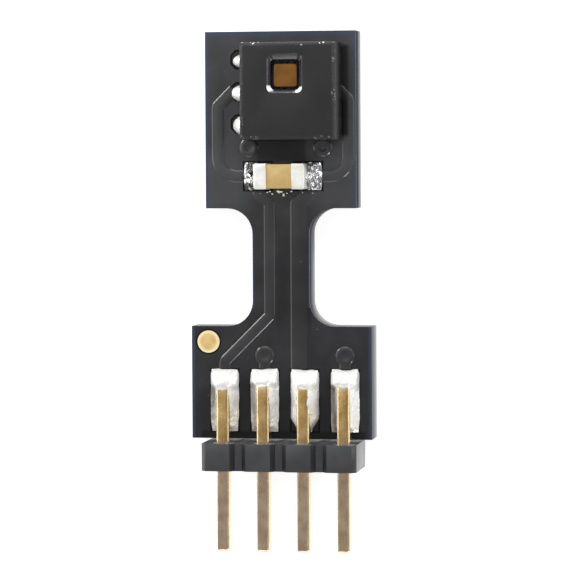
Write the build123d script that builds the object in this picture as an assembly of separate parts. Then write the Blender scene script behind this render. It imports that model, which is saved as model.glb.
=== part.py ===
"""A small plug-in humidity and temperature sensor: a dog-bone circuit board that lies on its back, with a
leadless sensor chip and a capacitor on its head and a row of header pins soldered to the edge of its base.

Millimetres. X runs across the board, Y along it from the header to the head, Z out of its front face. The
origin is on the plane that the board rests on, below the middle of the whole part."""

import os

from build123d import *

# Board
board_thickness = 1.0
base_width, base_length = 5.70, 3.52
neck_width, neck_length = 1.80, 3.68
head_width, head_length = 4.75, 5.50
notch_radius = 0.80

# Layers on the board
copper_thickness = 0.035
mask_thickness = 0.030
mask_over_copper = 0.025
mask_beside_copper = 0.050
mask_gap = 0.050
solder_film = 0.030

# Header
pin_count = 4
pin_pitch = 1.27
pin_side = 0.41
pin_bevel = 0.060
pin_solder_tip = 0.13
pin_plug_tip = 0.07
pin_over_board = 1.74
pin_free_length = 2.60
header_height = 0.86
header_depth = 2.10
header_corner = 0.14
header_web = 0.22
header_gap = 0.05
header_shift = 0.10

# Header pads, measured from the edge of the base
pad_width, pad_length = 0.85, 1.90
pad_edge_distance = 0.25
solder_inset = 0.06

# Sensor chip and the pads under it
chip_side = 3.0
chip_height = 1.10
chip_edge = 0.05
chip_x, chip_from_end = 0.41, 1.87
land_x = 0.17
lead_pitch = 1.0
lead_rows = 3
lead_length, lead_width, lead_height = 0.40, 0.35, 0.20
land_reach = 1.69
land_length, land_width, land_corner = 0.70, 0.50, 0.13
paddle_width, paddle_length = 1.50, 2.40
fillet_height = 0.30
fillet_swell = 0.78

# Window in the chip
window_x, window_y = -0.08, 0.50
window_width, window_length = 1.10, 1.18
window_floor_width, window_floor_length = 0.92, 0.94
window_corner = 0.20
window_bevel, window_depth = 0.09, 0.22
film_width, film_length, film_thickness = 0.71, 0.69, 0.03
film_corner = 0.08
film_drop = 0.02
die_margin = 0.15

# Capacitor
cap_length, cap_width, cap_height = 1.60, 0.80, 0.80
cap_terminal = 0.40
cap_plating = 0.025
cap_edge = 0.05
cap_x, cap_from_end = 0.08, 4.50
cap_land_reach, cap_land_length, cap_land_width = 1.22, 0.85, 0.84
cap_solder_height, cap_solder_swell = 0.42, 0.30

# Tracks and plated holes
power_track, signal_track, wide_track = 0.30, 0.26, 0.43
head_track_offset = 2.06
head_track_bend = 0.60
neck_ground_x, neck_supply_x = -0.365, 0.552
ground_turn = 0.42
supply_turn = 0.42
via_ring, via_hole, via_plating = 0.25, 0.14, 0.025
via_from_chip = 0.23
via_inset = 0.18
via_above_pad = 0.45
back_track = 0.25
back_run = 0.35
back_data_x, back_clock_x = -0.35, 0.40

# Marker
marker_radius = 0.35
marker_from_track, marker_from_top = 0.035, 0.49

# Places that follow from the sizes above
board_length = base_length + neck_length + head_length
below_board = header_gap + header_height + pin_free_length
edge_y = (below_board - board_length) / 2
base_top_y = edge_y + base_length
neck_top_y = base_top_y + neck_length
end_y = edge_y + board_length
core_top = board_thickness - mask_thickness
copper_top = core_top + copper_thickness
mask_top = copper_top + mask_over_copper
seat_z = copper_top + solder_film
back_copper_z = mask_over_copper

pin_z = seat_z + pin_side / 2
pin_tip_y = edge_y + pin_over_board
pin_length = pin_over_board + below_board
pin_xs = [header_shift + (i - (pin_count - 1) / 2) * pin_pitch for i in range(pin_count)]
pad_y = edge_y + pad_edge_distance + pad_length / 2
pad_top_y = pad_y + pad_length / 2

chip_y = end_y - chip_from_end
lead_ys = [chip_y + (1 - row) * lead_pitch for row in range(lead_rows)]
land_side = land_reach - land_length / 2
cap_y = end_y - cap_from_end
cap_land_side = cap_land_reach - cap_land_length / 2
chip_bottom_y = chip_y - chip_side / 2
via_head_y = chip_bottom_y - via_from_chip
via_head_offset = land_side - via_inset
via_base_y = pad_top_y + via_above_pad


def block(width, length, low, high, x=0, y=0):
    """A box given by its plan size, its lowest and highest level and its centre."""
    return Pos(x, y, (low + high) / 2) * Box(width, length, high - low)


def slab(sketch, low, high):
    """A flat sketch given a thickness between two levels."""
    return extrude(Pos(0, 0, low) * sketch, amount=high - low)


def rounded(width, length, radius, x=0, y=0):
    return Pos(x, y) * RectangleRounded(width, length, radius)


def pads_at(width, length, places):
    """One plain rectangular pad at each place."""
    return [Pos(x, y) * Rectangle(width, length) for x, y in places]


def track(points, width, last_bend=None):
    """A copper track of one width, with mitred turns and round ends. Its last turn may be a bend."""
    path = Polyline(*points).wire()
    if last_bend:
        *_, turn, _ = points
        corner = min(path.vertices(), key=lambda vertex: (vertex.center() - Vector(*turn)).length)
        path = path.fillet_2d(last_bend, [corner])
    return Sketch() + Face(path.offset_2d(width / 2, kind=Kind.INTERSECTION))


def board_outline():
    """The dog-bone: a wide base and head joined by a neck, with the cutter's radius in its corners."""
    base = Pos(0, edge_y + base_length / 2) * Rectangle(base_width, base_length)
    neck = Pos(0, base_top_y + neck_length / 2) * Rectangle(neck_width, neck_length)
    head = Pos(0, end_y - head_length / 2) * Rectangle(head_width, head_length)
    outline = base + neck + head
    inner = [v for v in outline.vertices() if abs(abs(v.X) - neck_width / 2) < 1e-6]
    return fillet(inner, notch_radius)


def header_pads():
    return pads_at(pad_width, pad_length, [(x, pad_y) for x in pin_xs])


def sensor_pads():
    """Six pads with their outer corners cut: the left column from the head's end down, then the right."""
    plain = Rectangle(land_length, land_width)
    pads = []
    for side in (-1, 1):
        cut = chamfer([v for v in plain.vertices() if v.X * side > 0], land_corner)
        pads += [Pos(land_x + side * land_side, y) * cut for y in lead_ys]
    return pads


def capacitor_pads():
    places = [(cap_x + side * cap_land_side, cap_y) for side in (-1, 1)]
    return pads_at(cap_land_length, cap_land_width, places)


def head_track_points(side):
    """From the chip's middle pad out to the side of the head, down it and round to the capacitor."""
    rail = cap_x + side * head_track_offset
    pad = land_x + side * land_reach
    drop = abs(rail - pad)
    return [
        (pad - side * land_length / 2, chip_y),
        (pad, chip_y),
        (rail, chip_y - drop),
        (rail, cap_y),
        (cap_x + side * cap_land_side, cap_y),
    ]


def front_tracks():
    """Tracks on the front by net: the points of each, its width and, where it is round, its last bend."""
    ground, data, supply, clock = pin_xs
    pads_y = pad_top_y - pad_width / 2
    cap_left, cap_right = cap_x - cap_land_side, cap_x + cap_land_side
    turn_y = cap_y - cap_land_width / 2
    left_via, right_via = land_x - via_head_offset, land_x + via_head_offset
    low_pad_y = lead_ys[-1]
    neck_left_top = turn_y - ground_turn
    neck_right_top = turn_y - supply_turn
    diagonal = neck_ground_x - ground
    return {
        "ground": [
            (head_track_points(-1), power_track, head_track_bend),
            (
                [
                    (cap_left, cap_y),
                    (cap_left, turn_y),
                    (neck_ground_x, neck_left_top),
                    (neck_ground_x, pad_top_y + ground_turn + diagonal),
                    (ground, pad_top_y + ground_turn),
                    (ground, pads_y),
                ],
                signal_track,
            ),
        ],
        "supply": [
            (head_track_points(1), power_track, head_track_bend),
            (
                [
                    (cap_right, cap_y),
                    (cap_right, turn_y),
                    (neck_supply_x, neck_right_top),
                    (neck_supply_x, pads_y),
                ],
                wide_track,
            ),
        ],
        "data": [
            ([(left_via, via_head_y), (left_via, low_pad_y)], signal_track),
            ([(data, via_base_y), (data, pads_y)], signal_track),
        ],
        "clock": [
            ([(right_via, via_head_y), (right_via, low_pad_y)], signal_track),
            ([(clock, via_base_y), (clock, pads_y)], signal_track),
        ],
    }


def via_places():
    """Plated holes by net, the one on the head first."""
    _, data, _, clock = pin_xs
    return {
        "data": [(land_x - via_head_offset, via_head_y), (data, via_base_y)],
        "clock": [(land_x + via_head_offset, via_head_y), (clock, via_base_y)],
    }


def back_tracks():
    """Tracks on the back, which join the two plated holes of a net through the neck."""
    places = via_places()
    routes = {}
    for net, rail in (("data", back_data_x), ("clock", back_clock_x)):
        (head_x, head_y), (base_x, base_y) = places[net]
        turn_y = head_y - back_run
        routes[net] = [
            (head_x, head_y),
            (head_x, turn_y),
            (rail, turn_y - abs(head_x - rail)),
            (rail, base_y + abs(base_x - rail)),
            (base_x, base_y),
        ]
    return routes


def union(shapes):
    total = shapes[0]
    for shape in shapes[1:]:
        total += shape
    return total


def net_pads():
    pads, lands, caps = header_pads(), sensor_pads(), capacitor_pads()
    return {
        "ground": [pads[0], lands[1], caps[0]],
        "data": [pads[1], lands[2]],
        "supply": [pads[2], lands[4], caps[1]],
        "clock": [pads[3], lands[5]],
    }


def copper_net(net):
    """One etched net: its front pads and tracks and, if it changes side, plated holes and a back track."""
    front = [track(*route) for route in front_tracks()[net]] + net_pads()[net]
    vias = via_places().get(net, [])
    rings = [Pos(*place) * Circle(via_ring) for place in vias]
    copper = slab(union(front + rings), core_top, copper_top)
    if vias:
        back = union([track(back_tracks()[net], back_track)] + rings)
        copper += slab(back, back_copper_z, back_copper_z + copper_thickness)
        for x, y in vias:
            copper += Pos(x, y) * slab(Circle(via_hole), back_copper_z, copper_top)
        for x, y in vias:
            copper -= Pos(x, y) * slab(Circle(via_hole - via_plating), back_copper_z, copper_top)
    return copper


def marker():
    """The round pad beside pin 1, between the side of the base and the track of pin 1."""
    x = pin_xs[0] - signal_track / 2 - marker_from_track - marker_radius
    return Pos(x, base_top_y - marker_from_top) * Circle(marker_radius)


def spare_pads():
    lands = sensor_pads()
    return {
        "sensor_spare_pad_left": lands[0],
        "sensor_spare_pad_right": lands[3],
        "sensor_centre_pad": Pos(land_x, chip_y) * Rectangle(paddle_width, paddle_length),
    }


def circuit_board(nets):
    """Board and back coating in one solid, with the plated holes and the back tracks let into it."""
    board = slab(board_outline(), 0, core_top)
    for copper in nets.values():
        board -= copper
    for places in via_places().values():
        for x, y in places:
            board -= Pos(x, y) * slab(Circle(via_hole), back_copper_z, core_top)
    return board


def front_mask(nets):
    """Front coating: it rises over each track and ring, sinks at each plated hole and opens at each pad."""
    outline = board_outline()
    mask = slab(outline, core_top, board_thickness)
    raised = [
        track(points, width + 2 * mask_beside_copper, *bend)
        for routes in front_tracks().values()
        for points, width, *bend in routes
    ]
    vias = [place for places in via_places().values() for place in places]
    raised += [Pos(*place) * Circle(via_ring + mask_beside_copper) for place in vias]
    for shape in raised:
        ridge = slab(shape, core_top, mask_top)
        mask += chamfer(ridge.faces().sort_by(Axis.Z)[-1].edges(), mask_top - board_thickness)
    for x, y in vias:
        dimple = Cone(via_hole / 2, via_hole, mask_top - board_thickness)
        mask -= Pos(x, y, (board_thickness + mask_top) / 2) * dimple
    pads = header_pads() + sensor_pads() + capacitor_pads()
    pads += [marker(), spare_pads()["sensor_centre_pad"]]
    for pad in pads:
        mask -= slab(offset(pad, mask_gap, kind=Kind.INTERSECTION), core_top, mask_top)
    for copper in nets.values():
        mask -= copper
    return mask


def pin_section(x, y, side):
    section = chamfer(Rectangle(pin_side, pin_side).vertices(), pin_bevel)
    return Pos(x, y, pin_z) * (Plane.XZ * scale(section, side / pin_side))


def header_pin(x):
    """A square pin with bevelled edges and a tapered tip at each end, lying on its pad."""
    solder_end, plug_end = pin_tip_y, pin_tip_y - pin_length
    sections = [
        pin_section(x, solder_end, pin_side - 2 * pin_solder_tip),
        pin_section(x, solder_end - pin_solder_tip, pin_side),
        pin_section(x, plug_end + pin_plug_tip, pin_side),
        pin_section(x, plug_end, pin_side - 2 * pin_plug_tip),
    ]
    return loft(sections, ruled=True)


def header_body(pins):
    """Four octagonal blocks joined by recessed webs, moulded round the pins."""
    block_width = pin_pitch - header_web
    octagon = chamfer(Rectangle(block_width, header_depth).vertices(), header_corner)
    blocks = [Pos(x, pin_z) * octagon for x in pin_xs]
    web = Rectangle(pin_pitch * (pin_count - 1), header_depth - 2 * header_corner)
    top_y = edge_y - header_gap
    face = Plane.XZ * union(blocks + [Pos(header_shift, pin_z) * web])
    body = extrude(Pos(0, top_y, 0) * face, amount=header_height)
    for pin in pins:
        body -= pin
    return body


def solder_section(y, foot, crest, height, belly):
    """A section across a solder joint: a foot on the pad, two curved flanks and a flat crest. A belly under
    a half makes the flanks hollow, one over a half makes them swell."""
    half, top = foot / 2, crest / 2
    mid_x = top + (half - top) * belly
    mid_z = height * belly
    line = Polyline((-half, 0), (half, 0))
    right = Bezier((half, 0), (mid_x, mid_z), (top, height))
    crown = Line((top, height), (-top, height))
    left = Bezier((-top, height), (-mid_x, mid_z), (-half, 0))
    return Pos(0, y, copper_top) * (Plane.XZ * make_face(line + right + crown + left))


def header_solder(x, pin):
    """Solder that climbs the pin's sides along the pad and domes over the tip of the pin."""
    low_y = edge_y + pad_edge_distance + solder_inset
    high_y = pad_top_y - solder_inset
    foot = pad_width - 2 * solder_inset
    collar = pin_side + 2 * solder_film
    top = seat_z + pin_side - copper_top
    sections = [
        solder_section(low_y, foot * 0.80, collar, top * 0.45, 0.35),
        solder_section(low_y + pad_length * 0.20, foot, collar, top * 0.70, 0.28),
        solder_section(pin_tip_y, foot, collar * 0.8, top * 0.80, 0.60),
        solder_section(high_y, foot * 0.85, collar * 0.6, top * 0.16, 0.80),
    ]
    return Pos(x, 0, 0) * loft(sections) - pin


def end_fillet(inner, wall, outer, height, width, swell):
    """Solder at the end of a chip part, along +X: a film under it from inner to wall, and a fillet from the
    wall down to the pad's end. A swell under a half makes it hollow, one over a half makes it bulge."""
    foot = solder_film
    if outer - wall < solder_inset:
        return block(outer - inner, width, 0, foot, (outer + inner) / 2)
    bottom = Polyline((wall, height), (wall, foot), (inner, foot), (inner, 0), (outer, 0), (outer, foot))
    turn = (wall + (outer - wall) * swell, foot + (height - foot) * swell)
    slope = Bezier((outer, foot), turn, (wall, height))
    body = extrude(Plane.XZ * make_face(bottom + slope), amount=width / 2, both=True)
    plan = RectangleRounded((outer - inner) * 2, width, min(outer - wall, width / 2) * 0.9)
    return body & extrude(Pos(inner, 0, 0) * plan, amount=height)


def sensor_solders():
    """A film under each lead and, where the pad reaches past the chip, a fillet out to the pad's end."""
    out = []
    wall = chip_side / 2
    width = land_width - solder_inset
    for side in (-1, 1):
        outer = side * (land_x - chip_x) + land_reach
        if outer < wall:
            outer -= land_corner
        for y in lead_ys:
            one = end_fillet(wall - lead_length, wall, outer, fillet_height, width, fillet_swell)
            if side < 0:
                one = mirror(one, Plane.YZ)
            out.append(Pos(chip_x, y, copper_top) * one)
    return out


def sensor_leads():
    reach = (chip_side - lead_length) / 2
    return [
        block(lead_length, lead_width, seat_z, seat_z + lead_height, chip_x + side * reach, y)
        for side in (-1, 1)
        for y in lead_ys
    ]


def sensor_package():
    """The moulded body with its window, and the paddle, die and sensing film that it holds."""
    low, high = seat_z, seat_z + chip_height
    body = block(chip_side, chip_side, low, high, chip_x, chip_y)
    body = chamfer(body.faces().sort_by(Axis.Z)[-1].edges(), chip_edge)
    x, y = chip_x + window_x, chip_y + window_y
    floor_z = high - window_depth
    mouth = rounded(window_width, window_length, window_corner, x, y)
    floor = rounded(window_floor_width, window_floor_length, window_corner * 0.6, x, y)
    body -= loft([Pos(0, 0, high - window_bevel) * floor, Pos(0, 0, high) * mouth])
    body -= slab(floor, floor_z, high)
    paddle = block(paddle_width, paddle_length, low, low + lead_height, chip_x, chip_y)
    die_width, die_length = window_floor_width + 2 * die_margin, window_floor_length + 2 * die_margin
    die = block(die_width, die_length, low + lead_height, floor_z, x, y)
    film_plan = rounded(film_width, film_length, film_corner, x, y - film_drop)
    film = slab(film_plan, floor_z, floor_z + film_thickness)
    for inner in [paddle, die] + sensor_leads():
        body -= inner
    return {"sensor_body": body, "sensor_paddle": paddle, "sensor_die": die, "sensing_film": film}


def capacitor():
    """A ceramic block with a plated cap over each end, and the solder at each end."""
    low, high = seat_z, seat_z + cap_height
    core_length, core_width = cap_length - 2 * cap_plating, cap_width - 2 * cap_plating
    ceramic = block(core_length, core_width, low + cap_plating, high - cap_plating, cap_x, cap_y)
    parts = {"capacitor_body": ceramic}
    for side, name in ((-1, "left"), (1, "right")):
        end_x = cap_x + side * (cap_length - cap_terminal) / 2
        cap = block(cap_terminal, cap_width, low, high, end_x, cap_y)
        outer = cap.faces().sort_by(Axis.X)[0 if side < 0 else -1]
        cap = fillet(outer.edges(), cap_edge)
        parts[f"capacitor_{name}_terminal"] = cap - ceramic
        solder = end_fillet(
            cap_length / 2 - cap_terminal, cap_length / 2, cap_land_reach - solder_inset,
            cap_solder_height, cap_land_width - solder_inset, cap_solder_swell,
        )
        if side < 0:
            solder = mirror(solder, Plane.YZ)
        parts[f"capacitor_{name}_solder"] = Pos(cap_x, cap_y, copper_top) * solder - cap
    return parts


def build():
    nets = {net: copper_net(net) for net in ("ground", "supply", "data", "clock")}
    parts = {"circuit_board": circuit_board(nets), "solder_mask_front": front_mask(nets)}
    parts.update({f"copper_{net}": copper for net, copper in nets.items()})
    parts.update({name: slab(pad, core_top, copper_top) for name, pad in spare_pads().items()})
    parts["pin_one_marker"] = slab(marker(), core_top, copper_top)
    parts.update(sensor_package())
    parts.update({f"sensor_lead_{i + 1}": lead for i, lead in enumerate(sensor_leads())})
    parts.update({f"sensor_solder_{i + 1}": solder for i, solder in enumerate(sensor_solders())})
    shared_width, shared_x = paddle_width - abs(chip_x - land_x), (chip_x + land_x) / 2
    parts["sensor_centre_solder"] = block(shared_width, paddle_length, copper_top, seat_z, shared_x, chip_y)
    parts.update(capacitor())
    pins = [header_pin(x) for x in pin_xs]
    parts["header_body"] = header_body(pins)
    for i, (x, pin) in enumerate(zip(pin_xs, pins)):
        parts[f"header_pin_{i + 1}"] = pin
        parts[f"header_solder_{i + 1}"] = header_solder(x, pin)
    return parts


os.makedirs("parts", exist_ok=True)
for name, part in build().items():
    export_step(part, f"parts/{name}.step")
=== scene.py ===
# %% [markdown]
# A humidity and temperature sensor on a small dog-bone board
#
# The real object is 16 mm long: a black coated circuit board with a square sensor chip and a capacitor on
# its head, and four gold pins soldered along the edge of its base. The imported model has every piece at
# its real size. This lesson adds what the eye looks for on something so small: soft edges, solder that
# has flowed, moulded grain and plated metal. A new piece sits on what carries it, so wherever a packed
# piece gives its place, that is read from the piece's box, which is a pair of corners.

# %% Load the frame
import math

import bmesh
import bpy
from mathutils import Matrix, Vector, noise


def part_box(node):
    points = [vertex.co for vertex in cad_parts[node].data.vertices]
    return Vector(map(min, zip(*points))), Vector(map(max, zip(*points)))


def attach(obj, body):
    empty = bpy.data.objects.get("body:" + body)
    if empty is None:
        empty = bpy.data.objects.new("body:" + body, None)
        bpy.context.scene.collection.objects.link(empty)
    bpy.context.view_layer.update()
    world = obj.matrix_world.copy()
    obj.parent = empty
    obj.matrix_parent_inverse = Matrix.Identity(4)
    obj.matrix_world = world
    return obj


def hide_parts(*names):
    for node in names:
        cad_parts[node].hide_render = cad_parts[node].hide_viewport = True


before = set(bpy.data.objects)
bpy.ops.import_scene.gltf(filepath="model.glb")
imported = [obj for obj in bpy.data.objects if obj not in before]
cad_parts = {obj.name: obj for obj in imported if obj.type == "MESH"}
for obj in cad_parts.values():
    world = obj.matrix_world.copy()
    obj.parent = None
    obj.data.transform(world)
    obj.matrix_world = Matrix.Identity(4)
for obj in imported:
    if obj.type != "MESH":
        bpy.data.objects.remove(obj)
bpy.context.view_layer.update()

MM = 0.001

# %% [markdown]
# Nodes made by small functions
#
# A material is a tree of nodes joined by links. They can be placed by hand in the editor, but a dozen
# materials then come to differ in ways that nobody meant. Three functions make what comes back again and
# again: a group with named inputs and outputs, a sum or product, and a noise.


# %% Make groups, sums and noises
def new_group(name, inputs, outputs):
    group = bpy.data.node_groups.new(name, "ShaderNodeTree")
    for label, kind, value in inputs:
        socket = group.interface.new_socket(label, in_out="INPUT", socket_type=kind)
        if value is not None:
            socket.default_value = value
    for label, kind in outputs:
        group.interface.new_socket(label, in_out="OUTPUT", socket_type=kind)
    return group, group.nodes.new("NodeGroupInput"), group.nodes.new("NodeGroupOutput")


def math_node(tree, operation, first, second, clamp=False):
    node = tree.nodes.new("ShaderNodeMath")
    node.operation = operation
    node.use_clamp = clamp
    for socket, value in zip(node.inputs, (first, second)):
        if isinstance(value, (int, float)):
            socket.default_value = value
        else:
            tree.links.new(value, socket)
    return node.outputs[0]


def noise_node(tree, vector, scale, detail=2.0, roughness=0.5):
    node = tree.nodes.new("ShaderNodeTexNoise")
    node.inputs["Detail"].default_value = detail
    node.inputs["Roughness"].default_value = roughness
    tree.links.new(vector, node.inputs["Vector"])
    if isinstance(scale, (int, float)):
        node.inputs["Scale"].default_value = scale
    else:
        tree.links.new(scale, node.inputs["Scale"])
    return node.outputs["Fac"]


# %% [markdown]
# Fine grain
#
# Nearly every surface here has a fine grain and a broad unevenness of tone. Each material could have
# noises of its own, but they differ only in size. So one group gives a height for the bump and patches
# for the colour, and each material sets its own sizes on it.

# %% Fine grain: a height and patches
grain_group, grain_in, grain_out = new_group(
    "fine_grain",
    [("Vector", "NodeSocketVector", None), ("Grain per mm", "NodeSocketFloat", 20.0),
     ("Patches per mm", "NodeSocketFloat", 1.5), ("Patch share", "NodeSocketFloat", 0.4)],
    [("Height", "NodeSocketFloat"), ("Patches", "NodeSocketFloat")],
)
where = grain_in.outputs["Vector"]
grains = noise_node(grain_group, where, grain_in.outputs["Grain per mm"], 3.0, 0.6)
patches = noise_node(grain_group, where, grain_in.outputs["Patches per mm"], 2.0)
patch_height = math_node(grain_group, "MULTIPLY", patches, grain_in.outputs["Patch share"])
grain_group.links.new(math_node(grain_group, "ADD", grains, patch_height), grain_out.inputs["Height"])
grain_group.links.new(patches, grain_out.inputs["Patches"])
print("fine grain:", len(grain_group.nodes), "nodes")

# %% [markdown]
# Specks
#
# Small pale specks of dust lie on the coating. The same pattern gives the glass filler that shines in
# sawn epoxy and the pores of the ceramic. Specks could be tiny meshes, but thousands of them would weigh
# the model down. Here the middle of each Voronoi cell is a speck, and a broad noise leaves some places
# clean, because dust is never spread evenly.

# %% Specks, as a mask
GATHERING_PER_MM = 1.1
CLEAN_SHARE = 0.55
dust_group, dust_in, dust_out = new_group(
    "dust",
    [("Vector", "NodeSocketVector", None), ("Specks per mm", "NodeSocketFloat", 5.0),
     ("Size", "NodeSocketFloat", 0.06)],
    [("Mask", "NodeSocketFloat")],
)
cells = dust_group.nodes.new("ShaderNodeTexVoronoi")
dust_group.links.new(dust_in.outputs["Vector"], cells.inputs["Vector"])
dust_group.links.new(dust_in.outputs["Specks per mm"], cells.inputs["Scale"])
near = math_node(dust_group, "LESS_THAN", cells.outputs["Distance"], dust_in.outputs["Size"])
gathered = noise_node(dust_group, dust_in.outputs["Vector"], GATHERING_PER_MM)
here = math_node(dust_group, "GREATER_THAN", gathered, CLEAN_SHARE)
dust_group.links.new(math_node(dust_group, "MULTIPLY", near, here), dust_out.inputs["Mask"])
print("specks:", len(dust_group.nodes), "nodes")

# %% [markdown]
# A finish in millimetres
#
# A maker thinks of a surface in millimetres, and Blender measures in metres. Each pattern could carry its
# own factor of a thousand, which is easy to forget. Instead one small class keeps a material with its
# coordinates in millimetres, and has short ways to mix masks and colours. A number that is the same all
# over a surface goes straight to the shader's own socket.


# %% Keep a material with its coordinates
class Finish:
    """One material: its shader, its coordinates in millimetres, and short ways to join nodes."""

    def __init__(self, name, colour, rough, metal=0.0, **sockets):
        self.material = bpy.data.materials.new(name)
        self.material.use_nodes = True
        self.tree = self.material.node_tree
        self.shader = self.tree.nodes["Principled BSDF"]
        self.shader.inputs["Base Color"].default_value = (*colour, 1)
        self.shader.inputs["Roughness"].default_value = rough
        self.shader.inputs["Metallic"].default_value = metal
        for label, value in sockets.items():
            self.shader.inputs[label.replace("_", " ")].default_value = value
        coordinates = self.tree.nodes.new("ShaderNodeTexCoord")
        mapping = self.tree.nodes.new("ShaderNodeMapping")
        mapping.inputs["Scale"].default_value = (1 / MM, 1 / MM, 1 / MM)
        self.tree.links.new(coordinates.outputs["Object"], mapping.inputs["Vector"])
        self.mm = mapping.outputs["Vector"]
        split = self.tree.nodes.new("ShaderNodeSeparateXYZ")
        self.tree.links.new(self.mm, split.inputs[0])
        self.x, self.y, self.z = split.outputs

    def place(self, group, **values):
        """Places a node group, with its inputs set to the values."""
        node = self.tree.nodes.new("ShaderNodeGroup")
        node.node_tree = group
        self.tree.links.new(self.mm, node.inputs["Vector"])
        for label, value in values.items():
            node.inputs[label.replace("_", " ")].default_value = value
        return node

    def times(self, first, second):
        return math_node(self.tree, "MULTIPLY", first, second)

    def larger(self, first, second):
        return math_node(self.tree, "MAXIMUM", first, second)

    def ramp(self, value, low, high, to_low=0.0, to_high=1.0):
        """Turns the range from low to high into the range from to_low to to_high."""
        node = self.tree.nodes.new("ShaderNodeMapRange")
        labels = ("From Min", "From Max", "To Min", "To Max")
        for label, number in zip(labels, (low, high, to_low, to_high)):
            node.inputs[label].default_value = number
        self.tree.links.new(value, node.inputs["Value"])
        return node.outputs[0]

    def blend(self, share, first, second):
        """Mixes two colours, each a tuple or the output of a node. A share of 1 is all second."""
        node = self.tree.nodes.new("ShaderNodeMix")
        node.data_type = "RGBA"
        self.tree.links.new(share, node.inputs["Factor"])
        for socket, colour in ((node.inputs["A"], first), (node.inputs["B"], second)):
            if isinstance(colour, tuple):
                socket.default_value = (*colour, 1)
            else:
                self.tree.links.new(colour, socket)
        return node.outputs["Result"]

    def paint(self, colour):
        self.tree.links.new(colour, self.shader.inputs["Base Color"])

    def roughen(self, value):
        self.tree.links.new(value, self.shader.inputs["Roughness"])

    def bump(self, height, depth_mm, strength=1.0):
        node = self.tree.nodes.new("ShaderNodeBump")
        node.inputs["Distance"].default_value = depth_mm * MM
        node.inputs["Strength"].default_value = strength
        self.tree.links.new(height, node.inputs["Height"])
        self.tree.links.new(node.outputs["Normal"], self.shader.inputs["Normal"])

    def describe(self):
        print("finish", self.material.name, "with", len(self.tree.nodes), "nodes")


# %% [markdown]
# Grain, specks and streaks on a finish
#
# A moulded surface looks the same every way, so grain and specks only need their group. Drawn wire and
# glass cloth have streaks, and a texture image could show them. A noise whose coordinates are multiplied
# unevenly does it without an image: it is drawn out along the axes that have the small numbers.


# %% Add grain, specks and streaks
def add_grain(finish, per_mm, patches_per_mm, patch_share, depth_mm, strength=1.0):
    """Bumps a finish with fine grain. Returns its patches, for the colour or the gloss."""
    grain = finish.place(
        grain_group, Grain_per_mm=per_mm, Patches_per_mm=patches_per_mm, Patch_share=patch_share
    )
    finish.bump(grain.outputs["Height"], depth_mm, strength)
    return grain.outputs["Patches"]


def add_specks(finish, per_mm, size, share):
    """A mask of small specks. The share says how much a speck covers."""
    specks = finish.place(dust_group, Specks_per_mm=per_mm, Size=size)
    return finish.times(specks.outputs["Mask"], share)


def streaks(finish, stretch, detail, roughness=0.5):
    node = finish.tree.nodes.new("ShaderNodeVectorMath")
    node.operation = "MULTIPLY"
    node.inputs[1].default_value = stretch
    finish.tree.links.new(finish.mm, node.inputs[0])
    return noise_node(finish.tree, node.outputs[0], 1.0, detail, roughness)


# %% [markdown]
# How near a point is to the board's edge
#
# Close to the board's edge the black coating is painted a blue grey, a painted reflection of its
# surroundings where it rounds off. A painted mask would need an image, and Geometry's Pointiness needs a
# dense mesh. The outline is simple, so the distance is worked out from the coordinates: one gap to the
# sides of the head, one to its end, one to the sides of the base and one to the sides of the neck. Away
# from the head or the neck, its gap is made too large to count, and the smallest gap wins. The gap to the
# head's end counts for less, so the rim is wider there.

# %% Measure the gap to the edge
HEAD_HALF, HEAD_START = 2.375, 2.605
NECK_HALF, NECK_MIDDLE, NECK_REACH = 0.95, 0.765, 1.25
END_WEIGHT = 0.65
FAR_OFF = 10.0
board_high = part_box("circuit_board")[1]

rim_group, rim_in, rim_out = new_group(
    "rim", [("Vector", "NodeSocketVector", None)], [("Share", "NodeSocketFloat")]
)
where = rim_group.nodes.new("ShaderNodeSeparateXYZ")
rim_group.links.new(rim_in.outputs["Vector"], where.inputs[0])
along = where.outputs["Y"]
off_axis = math_node(rim_group, "ABSOLUTE", where.outputs["X"], 0.0)

on_head = math_node(rim_group, "GREATER_THAN", along, HEAD_START)
head_gap = math_node(rim_group, "SUBTRACT", HEAD_HALF, off_axis)
head_gap = math_node(rim_group, "MULTIPLY", head_gap, on_head)
head_gap = math_node(rim_group, "ADD", head_gap, math_node(rim_group, "SUBTRACT", 1.0, on_head))

end_gap = math_node(rim_group, "SUBTRACT", board_high.y / MM, along)
end_gap = math_node(rim_group, "MULTIPLY", end_gap, END_WEIGHT)

base_gap = math_node(rim_group, "SUBTRACT", board_high.x / MM, off_axis)

from_neck = math_node(rim_group, "SUBTRACT", along, NECK_MIDDLE)
off_neck = math_node(rim_group, "ABSOLUTE", from_neck, 0.0)
off_neck = math_node(rim_group, "GREATER_THAN", off_neck, NECK_REACH)
off_neck = math_node(rim_group, "MULTIPLY", off_neck, FAR_OFF)
neck_gap = math_node(rim_group, "SUBTRACT", NECK_HALF, off_axis)
neck_gap = math_node(rim_group, "ADD", neck_gap, off_neck)

gap = head_gap
for other in (end_gap, base_gap, neck_gap):
    gap = math_node(rim_group, "MINIMUM", gap, other)
print("neck in mm: from", NECK_MIDDLE - NECK_REACH, "to", NECK_MIDDLE + NECK_REACH)
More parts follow.
